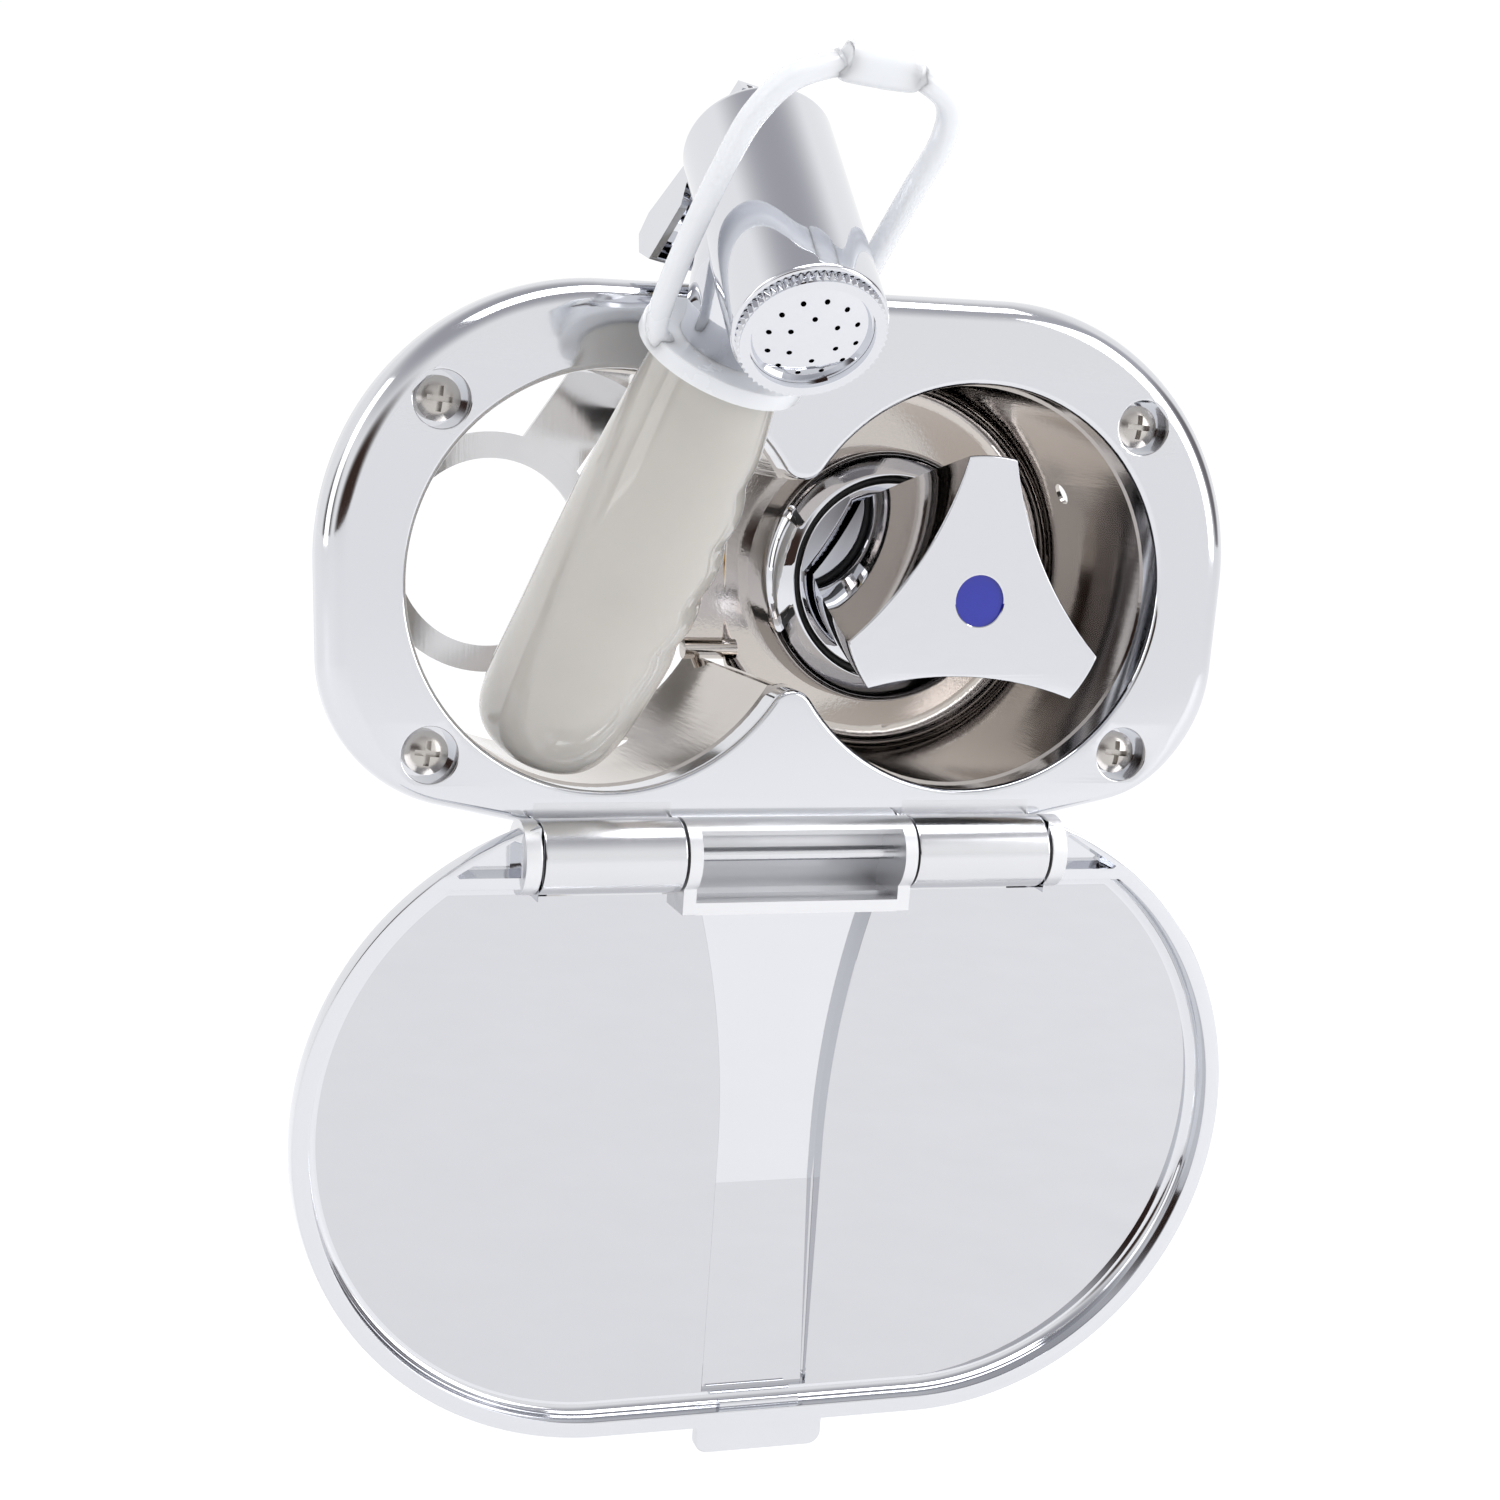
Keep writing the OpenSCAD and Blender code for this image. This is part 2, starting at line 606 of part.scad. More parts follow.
module spray_plate() {
    dome_r = 34;
    color([0.83, 0.84, 0.87]) seated() shower() along_head() difference() {
        union() {
            translate([0, 0, head_len - 0.9]) cylinder(r = 12.25, h = 2);
            intersection() {
                translate([0, 0, head_len + 3.2 - dome_r]) sphere(r = dome_r, $fn = 96);
                translate([0, 0, head_len]) cylinder(r = 12.25, h = 6);
            }
        }
        for (k = [0 : 11]) rotate([0, 0, k * 30 + 10]) translate([8.9, 0, head_len - 3]) {
            cylinder(r = 0.55, h = 9, $fn = 16);
        }
        for (k = [0 : 5]) rotate([0, 0, k * 60 + 25]) translate([5.2, 0, head_len - 3]) {
            cylinder(r = 0.55, h = 9, $fn = 16);
        }
    }
}

module spray_seal() {
    color([0.1, 0.1, 0.1]) seated() shower() along_head() difference() {
        translate([0, 0, head_len - 3]) cylinder(r = 11.6, h = 2.1);
        translate([0, 0, head_len - 4]) cylinder(r = 9.8, h = 4);
    }
}

// Loop of the strap: [sideways, height, half width, half thickness]
strap_path = [[-14.5, 101.5, 2.9, 2.2], [-17.6, 104.5, 2.9, 2.2], [-18.9, 112, 2.8, 2.1], [-19.5, 125, 2.8, 2.1],
    [-19.4, 140, 2.8, 2.1], [-18.4, 152, 2.8, 2.2], [-14.3, 161.5, 2.8, 2.3], [-6.5, 167.2, 2.8, 2.4],
    [-5, 167.9, 3.4, 3.9], [7.5, 169.7, 3.4, 3.9], [9, 169.6, 2.8, 2.4], [17.5, 166.5, 2.8, 2.3],
    [20.6, 159, 2.8, 2.2], [19.9, 147, 2.8, 2.1], [19.2, 133, 2.8, 2.1], [18.8, 114, 2.8, 2.1],
    [17.6, 104.5, 2.9, 2.2], [14.5, 101.5, 2.9, 2.2]];
function strap_turn(k) = let (a = strap_path[max(0, k - 1)], b = strap_path[min(len(strap_path) - 1, k + 1)])
    atan2(b[1] - a[1], b[0] - a[0]);
function strap_ring(k, n = 10) = let (p = strap_path[k], turn = strap_turn(k)) [for (j = [0 : n - 1])
    let (u = p[2] * cos(j * 360 / n), v = p[3] * sin(j * 360 / n))
    [strap_plane + u, p[0] + v * sin(turn), p[1] - v * cos(turn)]];

module hang_strap() {
    color([0.93, 0.94, 0.95]) seated() shower() {
        difference() {
            translate([0, 0, collar_h]) cylinder(r = 18, h = collar_t);
            translate([0, 0, collar_h - 1]) cylinder(r = neck_r, h = collar_t + 2);
        }
        skin([for (k = [0 : len(strap_path) - 1]) strap_ring(k)]);
    }
}

module hose_socket() {
    color([0.78, 0.7, 0.48]) seated() shower() difference() {
        translate([0, 0, 0.4]) cylinder(r = 6.5, h = 12);
        translate([0, 0, -1]) cylinder(r = hose_bore_r, h = 15);
    }
}

module trigger() {
    color([0.82, 0.83, 0.86]) seated() shower() along_head() difference() {
        translate([0, 7, 0]) rotate([90, 0, 0]) linear_extrude(height = 14) {
            polygon([[-8.9, -4.4], [-8.2, -7.8], [12, -8.8], [31.5, -12.4], [36.6, -11.4], [38.1, -7], [35.2, -1.6],
                [20, -1.6], [16.5, -4.4]]);
            translate(trigger_pivot) circle(r = 3.4);
        }
        translate([0, 5.4, 0]) rotate([90, 0, 0]) linear_extrude(height = 10.8) {
            polygon([[-20, 2], [-20, -6.4], [12, -7.4], [31, -10.9], [35.4, -10], [36.4, -7], [33.2, 2]]);
        }
        translate([trigger_pivot[0], 10, trigger_pivot[1]]) rotate([90, 0, 0]) cylinder(r = 1.3, h = 20);
    }
}

module trigger_pin() {
    color([0.7, 0.7, 0.72]) seated() shower() along_head() {
        translate([trigger_pivot[0], 7.6, trigger_pivot[1]]) rotate([90, 0, 0]) cylinder(r = 1.25, h = 15.2);
    }
}

module valve_plunger() {
    color([0.8, 0.72, 0.5]) seated() shower() along_head() {
        translate([0, 0, -6.8]) cylinder(r = 2.05, h = 14);
        translate([0, 0, 7.2]) cylinder(r = 4, h = 2);
    }
}

bezel();
recess_cup();
bezel_gasket();
mounting_screws();
hinge_pin();
handset_ring();
ring_rivets();
escutcheon();
escutcheon_seal();
tap_body();
tap_locknut();
tap_headwork();
tap_spindle();
tap_knob();
knob_screw();
knob_cap();
lid();
lid_catch();
handle_grip();
spray_head();
spray_nut();
spray_plate();
spray_seal();
hang_strap();
hose_socket();
trigger();
trigger_pin();
valve_plunger();
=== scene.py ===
# %% [markdown]
# # Recessed deck shower box
# A polished oval bezel with two joined round openings is screwed to a boat's side. Behind it sits a drawn cup with a
# tap, a hand shower leans out of the left opening, and a dished lid hangs open below on its hinge.
# The measured frame is loaded first. Every piece made here rides on one of its bodies and is in metres.

# %% Load the frame
import math
import bpy
import bmesh
from mathutils import Matrix, Vector
from mathutils.geometry import tessellate_polygon


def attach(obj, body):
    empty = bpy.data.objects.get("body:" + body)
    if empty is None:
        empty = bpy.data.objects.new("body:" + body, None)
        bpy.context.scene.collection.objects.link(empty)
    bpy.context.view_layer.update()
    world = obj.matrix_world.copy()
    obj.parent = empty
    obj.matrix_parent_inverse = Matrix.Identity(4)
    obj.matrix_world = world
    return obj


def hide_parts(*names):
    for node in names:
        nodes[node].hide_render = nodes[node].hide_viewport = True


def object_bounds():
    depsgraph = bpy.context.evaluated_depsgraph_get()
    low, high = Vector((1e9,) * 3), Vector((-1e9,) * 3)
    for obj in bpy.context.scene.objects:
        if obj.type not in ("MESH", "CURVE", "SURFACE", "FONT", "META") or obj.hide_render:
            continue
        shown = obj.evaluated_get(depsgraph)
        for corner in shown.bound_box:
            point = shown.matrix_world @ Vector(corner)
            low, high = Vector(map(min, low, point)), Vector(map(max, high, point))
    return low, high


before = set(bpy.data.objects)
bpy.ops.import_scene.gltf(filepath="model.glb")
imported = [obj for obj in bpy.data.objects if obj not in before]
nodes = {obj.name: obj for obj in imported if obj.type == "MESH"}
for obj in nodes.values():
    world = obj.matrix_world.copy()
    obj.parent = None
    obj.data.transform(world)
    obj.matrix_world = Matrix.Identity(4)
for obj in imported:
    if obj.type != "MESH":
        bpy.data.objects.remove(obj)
cad_low, cad_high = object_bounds()
MM = 0.001
print("CAD box", [round(v, 4) for v in cad_low], [round(v, 4) for v in cad_high])

# %% [markdown]
# ## Camera
# A long lens stands a little to the left of the box and just above it. Two directions say where the camera looks and
# which way is up, and the third is square to both. The small roll is the tilt of a camera held in the hand.

# %% Camera
CAMERA_PLACE = Vector((-217.243, -588.815, 53.671)) * MM
SENSOR_MM, LENS_MM = 36.0, 68.47
camera_data = bpy.data.cameras.new("camera")
camera_data.sensor_width = SENSOR_MM
camera_data.lens = LENS_MM
camera_data.clip_start = 0.01
camera = bpy.data.objects.new("camera", camera_data)
up = Vector((0.000659, 0.152995, 0.988227))
forward = Vector((0.334582, 0.931238, -0.144395))
up = (up - forward * up.dot(forward)).normalized()
right = forward.cross(up).normalized()
camera.matrix_world = Matrix.Translation(CAMERA_PLACE) @ Matrix((right, up, -forward)).transposed().to_4x4()
bpy.context.scene.collection.objects.link(camera)
bpy.context.scene.camera = camera
print("camera looks along", [round(v, 3) for v in forward])

# %% [markdown]
# ## Studio
# Chrome has almost no colour of its own: it shows the room. The room here is a pale studio with a dark brown card near
# the camera and greyer ones round about, because they draw the dark lines in polished metal. A pale floor lies below,
# and soft lamps stand left, right and above. Each lamp is aimed at the origin.

# %% Studio light
WORLD_STRENGTH = 1.02
WHITE = (1.0, 1.0, 1.0, 1)
# A card's direction, the cosines at which it begins and is full, and its colour
CARDS = [((-0.44, -0.89, -0.06), 0.86, 0.965, (0.050, 0.030, 0.024, 1)),
         ((-0.10, -0.25, 0.96), 0.50, 0.95, (0.42, 0.42, 0.45, 1)),
         ((0.75, -0.35, 0.55), 0.86, 0.98, (0.50, 0.50, 0.54, 1)),
         ((-0.97, -0.05, 0.10), 0.90, 0.985, (0.06, 0.05, 0.05, 1)),
         ((0.95, -0.10, 0.20), 0.93, 0.99, (0.20, 0.19, 0.20, 1)),
         ((0.10, -0.40, -0.91), 0.90, 0.985, (0.10, 0.09, 0.09, 1))]
# The sockets of a Mix node that mixes colours, which share their names with its sockets for other data
MIX_A, MIX_B, MIX_OUT = 6, 7, 2


def make_world():
    world = bpy.data.worlds.new("studio")
    bpy.context.scene.world = world
    world.use_nodes = True
    tree = world.node_tree
    tree.nodes.clear()
    out = tree.nodes.new("ShaderNodeOutputWorld")
    back = tree.nodes.new("ShaderNodeBackground")
    place = tree.nodes.new("ShaderNodeTexCoord")
    colour = None
    for direction, start, full, dark in CARDS:
        dot = tree.nodes.new("ShaderNodeVectorMath")
        dot.operation = "DOT_PRODUCT"
        dot.inputs[1].default_value = Vector(direction).normalized()
        tree.links.new(place.outputs["Generated"], dot.inputs[0])
        fade = tree.nodes.new("ShaderNodeMapRange")
        fade.interpolation_type = "SMOOTHSTEP"
        fade.inputs["From Min"].default_value = start
        fade.inputs["From Max"].default_value = full
        tree.links.new(dot.outputs["Value"], fade.inputs["Value"])
        mix = tree.nodes.new("ShaderNodeMix")
        mix.data_type = "RGBA"
        mix.inputs[MIX_A].default_value = WHITE
        mix.inputs[MIX_B].default_value = dark
        tree.links.new(fade.outputs["Result"], mix.inputs["Factor"])
        if colour is not None:
            tree.links.new(colour, mix.inputs[MIX_A])
        colour = mix.outputs[MIX_OUT]
    # Seen directly the room is plain white; the grey and brown cards only show in the metal
    seen = tree.nodes.new("ShaderNodeLightPath")
    plain = tree.nodes.new("ShaderNodeMix")
    plain.data_type = "RGBA"
    plain.inputs[MIX_B].default_value = WHITE
    tree.links.new(colour, plain.inputs[MIX_A])
    tree.links.new(seen.outputs["Is Camera Ray"], plain.inputs["Factor"])
    tree.links.new(plain.outputs[MIX_OUT], back.inputs["Color"])
    back.inputs["Strength"].default_value = WORLD_STRENGTH
    tree.links.new(back.outputs["Background"], out.inputs["Surface"])


def soft_lamp(name, place, size, power):
    data = bpy.data.lights.new(name, "AREA")
    data.shape = "RECTANGLE"
    data.size, data.size_y = size
    data.energy = power
    lamp = bpy.data.objects.new(name, data)
    lamp.location = place
    lamp.rotation_euler = (-Vector(place)).to_track_quat("-Z", "Y").to_euler()
    bpy.context.scene.collection.objects.link(lamp)


make_world()
soft_lamp("lamp_right", (1.1, -0.9, 0.5), (0.7, 1.2), 7)
soft_lamp("lamp_top", (0.1, -0.3, 1.3), (1.2, 0.6), 11)
soft_lamp("lamp_left", (-1.3, -0.1, 0.5), (0.5, 1.2), 3)
# Plain tone mapping keeps the pale studio white
bpy.context.scene.view_settings.view_transform = "Standard"
print("studio has", len(CARDS), "cards and", len(bpy.data.lights), "lamps")

# %% [markdown]
# The floor is one very large sheet a little below the lowest part, so that its edge is never seen.

# %% Floor
FLOOR_DROP, FLOOR_HALF = 0.035, 30.0
floor_mesh = bpy.data.meshes.new("floor")
floor_z = cad_low[2] - FLOOR_DROP
floor_mesh.from_pydata([(x * FLOOR_HALF, y * FLOOR_HALF, floor_z) for x, y in ((-1, -1), (1, -1), (1, 1), (-1, 1))],
                       [], [(0, 1, 2, 3)])
floor = bpy.data.objects.new("floor", floor_mesh)
bpy.context.scene.collection.objects.link(floor)
print("floor at", round(floor_z, 3))

# %% [markdown]
# ## Shared effects
# Fine brushing, worn edges and smudges are used by several materials, so each is a node group with named inputs. A
# group puts out only values; the Principled shader stays in the material.

# %% Shader node groups
def new_group(name, inputs, outputs):
    group = bpy.data.node_groups.new(name, "ShaderNodeTree")
    for label, kind, value in inputs:
        socket = group.interface.new_socket(name=label, in_out="INPUT", socket_type=kind)
        socket.default_value = value
    for label, kind in outputs:
        group.interface.new_socket(name=label, in_out="OUTPUT", socket_type=kind)
    enter = group.nodes.new("NodeGroupInput")
    leave = group.nodes.new("NodeGroupOutput")
    return group, enter, leave


def node(tree, kind, **values):
    """A new node: operation and data_type are its own settings, and every other value goes on a socket."""
    made = tree.nodes.new(kind)
    for key, value in values.items():
        if key in ("operation", "data_type"):
            setattr(made, key, value)
        else:
            made.inputs[key.replace("_", " ")].default_value = value
    return made


def make_brushing():
    """Noise drawn out into fine lines by an uneven stretch, as a mask from 0 to 1."""
    group, enter, leave = new_group("brushing", [("Stretch", "NodeSocketVector", (1, 1, 1)),
                                                 ("Fineness", "NodeSocketFloat", 900.0)],
                                    [("Lines", "NodeSocketFloat")])
    place = node(group, "ShaderNodeTexCoord")
    stretch = node(group, "ShaderNodeVectorMath", operation="MULTIPLY")
    noise = node(group, "ShaderNodeTexNoise", Detail=3.0, Roughness=0.6)
    group.links.new(place.outputs["Object"], stretch.inputs[0])
    group.links.new(enter.outputs["Stretch"], stretch.inputs[1])
    group.links.new(stretch.outputs["Vector"], noise.inputs["Vector"])
    group.links.new(enter.outputs["Fineness"], noise.inputs["Scale"])
    group.links.new(noise.outputs["Fac"], leave.inputs["Lines"])
    return group


def make_wear():
    """Rubbed edges from Geometry's pointiness, broken up by noise."""
    group, enter, leave = new_group("edge_wear", [("Amount", "NodeSocketFloat", 0.5)],
                                    [("Mask", "NodeSocketFloat")])
    shape = node(group, "ShaderNodeNewGeometry")
    edge = node(group, "ShaderNodeMapRange", From_Min=0.52, From_Max=0.62)
    place = node(group, "ShaderNodeTexCoord")
    noise = node(group, "ShaderNodeTexNoise", Scale=160.0, Detail=4.0)
    both = node(group, "ShaderNodeMath", operation="MULTIPLY")
    strength = node(group, "ShaderNodeMath", operation="MULTIPLY")
    group.links.new(shape.outputs["Pointiness"], edge.inputs["Value"])
    group.links.new(place.outputs["Object"], noise.inputs["Vector"])
    group.links.new(edge.outputs["Result"], both.inputs[0])
    group.links.new(noise.outputs["Fac"], both.inputs[1])
    group.links.new(both.outputs["Value"], strength.inputs[0])
    group.links.new(enter.outputs["Amount"], strength.inputs[1])
    group.links.new(strength.outputs["Value"], leave.inputs["Mask"])
    return group


def make_smudge():
    """Large soft patches and fine specks, for roughness that is never quite even."""
    group, enter, leave = new_group("smudge", [("Low", "NodeSocketFloat", 0.03), ("High", "NodeSocketFloat", 0.08),
                                               ("Scale", "NodeSocketFloat", 22.0)],
                                    [("Roughness", "NodeSocketFloat"), ("Patches", "NodeSocketFloat")])
    place = node(group, "ShaderNodeTexCoord")
    noise = node(group, "ShaderNodeTexNoise", Detail=5.0, Roughness=0.62)
    spread = node(group, "ShaderNodeMapRange", From_Min=0.35, From_Max=0.7)
    group.links.new(place.outputs["Object"], noise.inputs["Vector"])
    group.links.new(enter.outputs["Scale"], noise.inputs["Scale"])
    group.links.new(noise.outputs["Fac"], spread.inputs["Value"])
    group.links.new(enter.outputs["Low"], spread.inputs["To Min"])
    group.links.new(enter.outputs["High"], spread.inputs["To Max"])
    group.links.new(spread.outputs["Result"], leave.inputs["Roughness"])
    group.links.new(noise.outputs["Fac"], leave.inputs["Patches"])
    return group


BRUSHING, WEAR, SMUDGE = make_brushing(), make_wear(), make_smudge()
print("node groups:", BRUSHING.name, WEAR.name, SMUDGE.name)

# %% [markdown]
# ## Finishes
# One helper builds a metal: a base colour with a worn tint on its edges, a roughness that wanders from low to high by
# the smudge group, and a very fine bump from brushing. Polished plate has almost no lines, and the drawn cup has many.

# %% Metals
METAL_PATCHES, PLASTIC_PATCHES, PLASTIC_GRAIN = 22.0, 35.0, 420.0
BRUSH_DEPTH, GRAIN_DEPTH, SCATTER_DEPTH = 0.0001, 0.0002, 0.004


def use_group(tree, group, **values):
    made = tree.nodes.new("ShaderNodeGroup")
    made.node_tree = group
    for key, value in values.items():
        made.inputs[key].default_value = value
    return made


def tinted(tree, first, second, factor, shader):
    """Mixes two colours by the factor into the shader's base colour."""
    tint = node(tree, "ShaderNodeMix", data_type="RGBA")
    tint.inputs[MIX_A].default_value = (*first, 1)
    tint.inputs[MIX_B].default_value = (*second, 1)
    tree.links.new(factor, tint.inputs["Factor"])
    tree.links.new(tint.outputs[MIX_OUT], shader.inputs["Base Color"])


def metal(name, colour, worn, low, high, lines=0.0, stretch=(1, 1, 1), fineness=900.0, wear=0.3):
    material = bpy.data.materials.new(name)
    material.use_nodes = True
    tree = material.node_tree
    shader = tree.nodes["Principled BSDF"]
    shader.inputs["Metallic"].default_value = 1.0
    rubbed = use_group(tree, WEAR, Amount=wear)
    patches = use_group(tree, SMUDGE, Low=low, High=high, Scale=METAL_PATCHES)
    tinted(tree, colour, worn, rubbed.outputs["Mask"], shader)
    tree.links.new(patches.outputs["Roughness"], shader.inputs["Roughness"])
    if lines:
        grain = use_group(tree, BRUSHING, Stretch=stretch, Fineness=fineness)
        bump = node(tree, "ShaderNodeBump", Strength=lines, Distance=BRUSH_DEPTH)
        tree.links.new(grain.outputs["Lines"], bump.inputs["Height"])
        tree.links.new(bump.outputs["Normal"], shader.inputs["Normal"])
    return material


POLISHED = metal("polished_plate", (0.69, 0.70, 0.73), (0.62, 0.63, 0.66), 0.05, 0.10, 0.03, (1, 1, 1), 260.0)
SATIN = metal("satin_plate", (0.70, 0.705, 0.725), (0.62, 0.63, 0.65), 0.16, 0.26, 0.10, (0.06, 1, 1), 1400.0)
MIRROR = metal("mirror_plate", (0.605, 0.61, 0.635), (0.56, 0.57, 0.59), 0.012, 0.03, 0.0, wear=0.1)
CHROME = metal("bright_chrome", (0.71, 0.72, 0.755), (0.64, 0.65, 0.69), 0.015, 0.04, 0.0, wear=0.2)
DRAWN = metal("drawn_sheet", (0.56, 0.52, 0.485), (0.46, 0.43, 0.405), 0.06, 0.14, 0.20, (1, 0.08, 1), 1100.0)
SCREW = metal("screw_nickel", (0.50, 0.475, 0.45), (0.62, 0.60, 0.58), 0.20, 0.34, 0.10, (1, 1, 1), 700.0)
BRASS = metal("turned_brass", (0.70, 0.53, 0.27), (0.80, 0.66, 0.40), 0.16, 0.30, 0.12, (1, 1, 1), 800.0)
PALE = metal("pale_casting", (0.78, 0.785, 0.80), (0.70, 0.70, 0.72), 0.32, 0.45, 0.05, (0.1, 1, 1), 1200.0)
STEEL = metal("ring_steel", (0.66, 0.66, 0.67), (0.56, 0.56, 0.57), 0.07, 0.16, 0.10, (1, 1, 0.08), 900.0)
print("metals made:", len([m for m in bpy.data.materials if m.node_tree]))

# %% [markdown]
# The plastics: a glossy ivory handle that lets a little light in, a milky strap, and a saturated blue cap. Rubber is
# dark and dull, with a fine grain.

# %% Plastics and rubber
def plastic(name, colour, second, low, high, scatter=0.0, radius=(1, 1, 1), bump=0.02, coat=0.0):
    material = bpy.data.materials.new(name)
    material.use_nodes = True
    tree = material.node_tree
    shader = tree.nodes["Principled BSDF"]
    patches = use_group(tree, SMUDGE, Low=low, High=high, Scale=PLASTIC_PATCHES)
    tinted(tree, colour, second, patches.outputs["Patches"], shader)
    tree.links.new(patches.outputs["Roughness"], shader.inputs["Roughness"])
    shader.inputs["Subsurface Weight"].default_value = scatter
    shader.inputs["Subsurface Radius"].default_value = radius
    shader.inputs["Subsurface Scale"].default_value = SCATTER_DEPTH
    shader.inputs["Coat Weight"].default_value = coat
    shader.inputs["Coat Roughness"].default_value = 0.05
    skin_grain = node(tree, "ShaderNodeTexNoise", Scale=PLASTIC_GRAIN, Detail=3.0)
    place = node(tree, "ShaderNodeTexCoord")
    height = node(tree, "ShaderNodeBump", Strength=bump, Distance=GRAIN_DEPTH)
    tree.links.new(place.outputs["Object"], skin_grain.inputs["Vector"])
    tree.links.new(skin_grain.outputs["Fac"], height.inputs["Height"])
    tree.links.new(height.outputs["Normal"], shader.inputs["Normal"])
    return material


IVORY = plastic("ivory_handle", (0.565, 0.545, 0.51), (0.50, 0.48, 0.445), 0.07, 0.14, 0.25, (1, 0.7, 0.45),
                coat=0.5)
MILKY = plastic("milky_strap", (0.80, 0.815, 0.84), (0.74, 0.76, 0.79), 0.18, 0.30, 0.6, bump=0.0, coat=0.2)
BLUE = plastic("blue_cap", (0.012, 0.02, 0.36), (0.01, 0.016, 0.30), 0.08, 0.16, 0.05, (0.2, 0.3, 1), coat=0.4)
RUBBER = plastic("black_rubber", (0.012, 0.012, 0.013), (0.03, 0.03, 0.03), 0.45, 0.65, bump=0.25)
FLOOR = plastic("pale_floor", (0.30, 0.30, 0.305), (0.28, 0.28, 0.285), 0.6, 0.8, bump=0.0)
# A light table: the sheet glows evenly from below, so it stays pale to the horizon
glow = FLOOR.node_tree.nodes["Principled BSDF"].inputs
glow["Emission Color"].default_value = WHITE
glow["Emission Strength"].default_value = 0.75
floor.data.materials.append(FLOOR)
print("plastics made:", [m.name for m in (IVORY, MILKY, BLUE, RUBBER, FLOOR)])

# %% [markdown]
# ## Mesh helpers
# Most pieces here are lofts: equal rings of points joined by faces. Flat faces with holes are filled by tessellating
# their outlines. Smooth shading with weighted normals keeps the flats flat and the rounded edges soft.

# %% Mesh helpers
# Depths below are drawn from the bezel's front face, and the finished pieces move forward by the thickness of the
# plate, the cup's flange and the gasket, so that the gasket's back lies on the hull at y = 0.
SEATED = Matrix.Translation((0, -10.5 * MM, 0))
MERGE_WITHIN = 2e-6


def finish_piece(name, bm, body, material, replaced=(), smooth_angle=35.0):
    """Seats a drawn mesh on the hull, shades it, hides the frame pieces it replaces, and lets it ride on its body."""
    bm.transform(SEATED)
    bmesh.ops.remove_doubles(bm, verts=bm.verts, dist=MERGE_WITHIN)
    bmesh.ops.recalc_face_normals(bm, faces=bm.faces)
    mesh = bpy.data.meshes.new(name)
    bm.to_mesh(mesh)
    bm.free()
    piece = bpy.data.objects.new(name, mesh)
    bpy.context.scene.collection.objects.link(piece)
    for polygon in mesh.polygons:
        polygon.use_smooth = True
    mesh.set_sharp_from_angle(angle=math.radians(smooth_angle))
    weighted = piece.modifiers.new("weighted", "WEIGHTED_NORMAL")
    weighted.keep_sharp = True
    for one in material if isinstance(material, (list, tuple)) else [material]:
        mesh.materials.append(one)
    if replaced:
        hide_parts(*replaced)
    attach(piece, body)
    print(name, len(mesh.polygons), "faces")
    return piece


def ring_faces(bm, rings, closed=True, caps=(False, False), material=0):
    """Joins rings of equally many points by quads."""
    made = [[bm.verts.new(p) for p in ring] for ring in rings]
    count = len(made[0])
    last = count if closed else count - 1
    faces = []
    for a, b in zip(made, made[1:]):
        for k in range(last):
            faces.append(bm.faces.new((a[k], a[(k + 1) % count], b[(k + 1) % count], b[k])))
    if caps[0]:
        faces.append(bm.faces.new(made[0]))
    if caps[1]:
        faces.append(bm.faces.new(list(reversed(made[-1]))))
    for face in faces:
        face.material_index = material


def flat_fill(bm, loops, material=0):
    """Fills the area inside the first loop and outside the others."""
    made = [bm.verts.new(p) for loop in loops for p in loop]
    for triangle in tessellate_polygon([[Vector(p) for p in loop] for loop in loops]):
        face = bm.faces.new([made[k] for k in triangle])
        face.material_index = material


def circle(radius, count):
    """Equally spaced points round the origin, as pairs."""
    turns = [2 * math.pi * k / count for k in range(count)]
    return [(radius * math.cos(turn), radius * math.sin(turn)) for turn in turns]


def y_ring(x, y, z, radius, count):
    """A circle that faces along Y, from a centre in millimetres."""
    return [((x + u) * MM, y * MM, (z + v) * MM) for u, v in circle(radius, count)]


def x_ring(x, y, z, radius, count=48):
    """A circle that faces along X, from a centre in millimetres."""
    return [(x * MM, (y + u) * MM, (z + v) * MM) for u, v in circle(radius, count)]


def at_depth(points, y):
    """Pairs (x, z) in millimetres as points at depth y."""
    return [(x * MM, y * MM, z * MM) for x, z in points]


def at_side(points, x):
    """Pairs (y, z) in millimetres as points at x."""
    return [(x * MM, y * MM, z * MM) for y, z in points]


print("mesh helpers ready, pieces move by", [round(v, 4) for v in SEATED.translation])

# %% [markdown]
# ## Bezel
# One thick polished casting. Its outline follows two large upper corners and two tighter lower ones, the outer edge
# rolls over in a wide bullnose, and the figure-of-eight opening has a small rounded lip. The outline is worked out
# from the corner circles, so every ring of the bullnose is the same outline drawn a little smaller.

# %% Bezel
TOP_CORNER, LOW_CORNER = (46.3, 4.8, 58.7), (71.0, -16.2, 33.0)
OPENING_X, OPENING_R, TIP_R = 41.7, 45.0, 5.4
TIP_Z = math.sqrt((OPENING_R + TIP_R) ** 2 - OPENING_X ** 2)
BEZEL_T, LIP = 8.0, 1.3
# The bullnose is wide round the top and sides and narrows between these two heights to a slim one along the bottom
BULLNOSE, LOW_BULLNOSE, NARROWS = 6.0, 2.4, (-48.0, -34.0)
SCREW_X, SCREW_Z, SEAT_R, SEAT_Y, SCREW_HOLE_R = 80.5, 37.1, 6.1, 5.7, 2.75
HINGE_Y, HINGE_Z, BARREL_R, PIN_BORE_R = -5.05, -58.0, 8.1, 1.5
BARREL_INNER, BARREL_OUTER, TAB_PROUD, TAB_HEIGHTS = 26.7, 58.1, -0.06, (-57.5, -47.4)


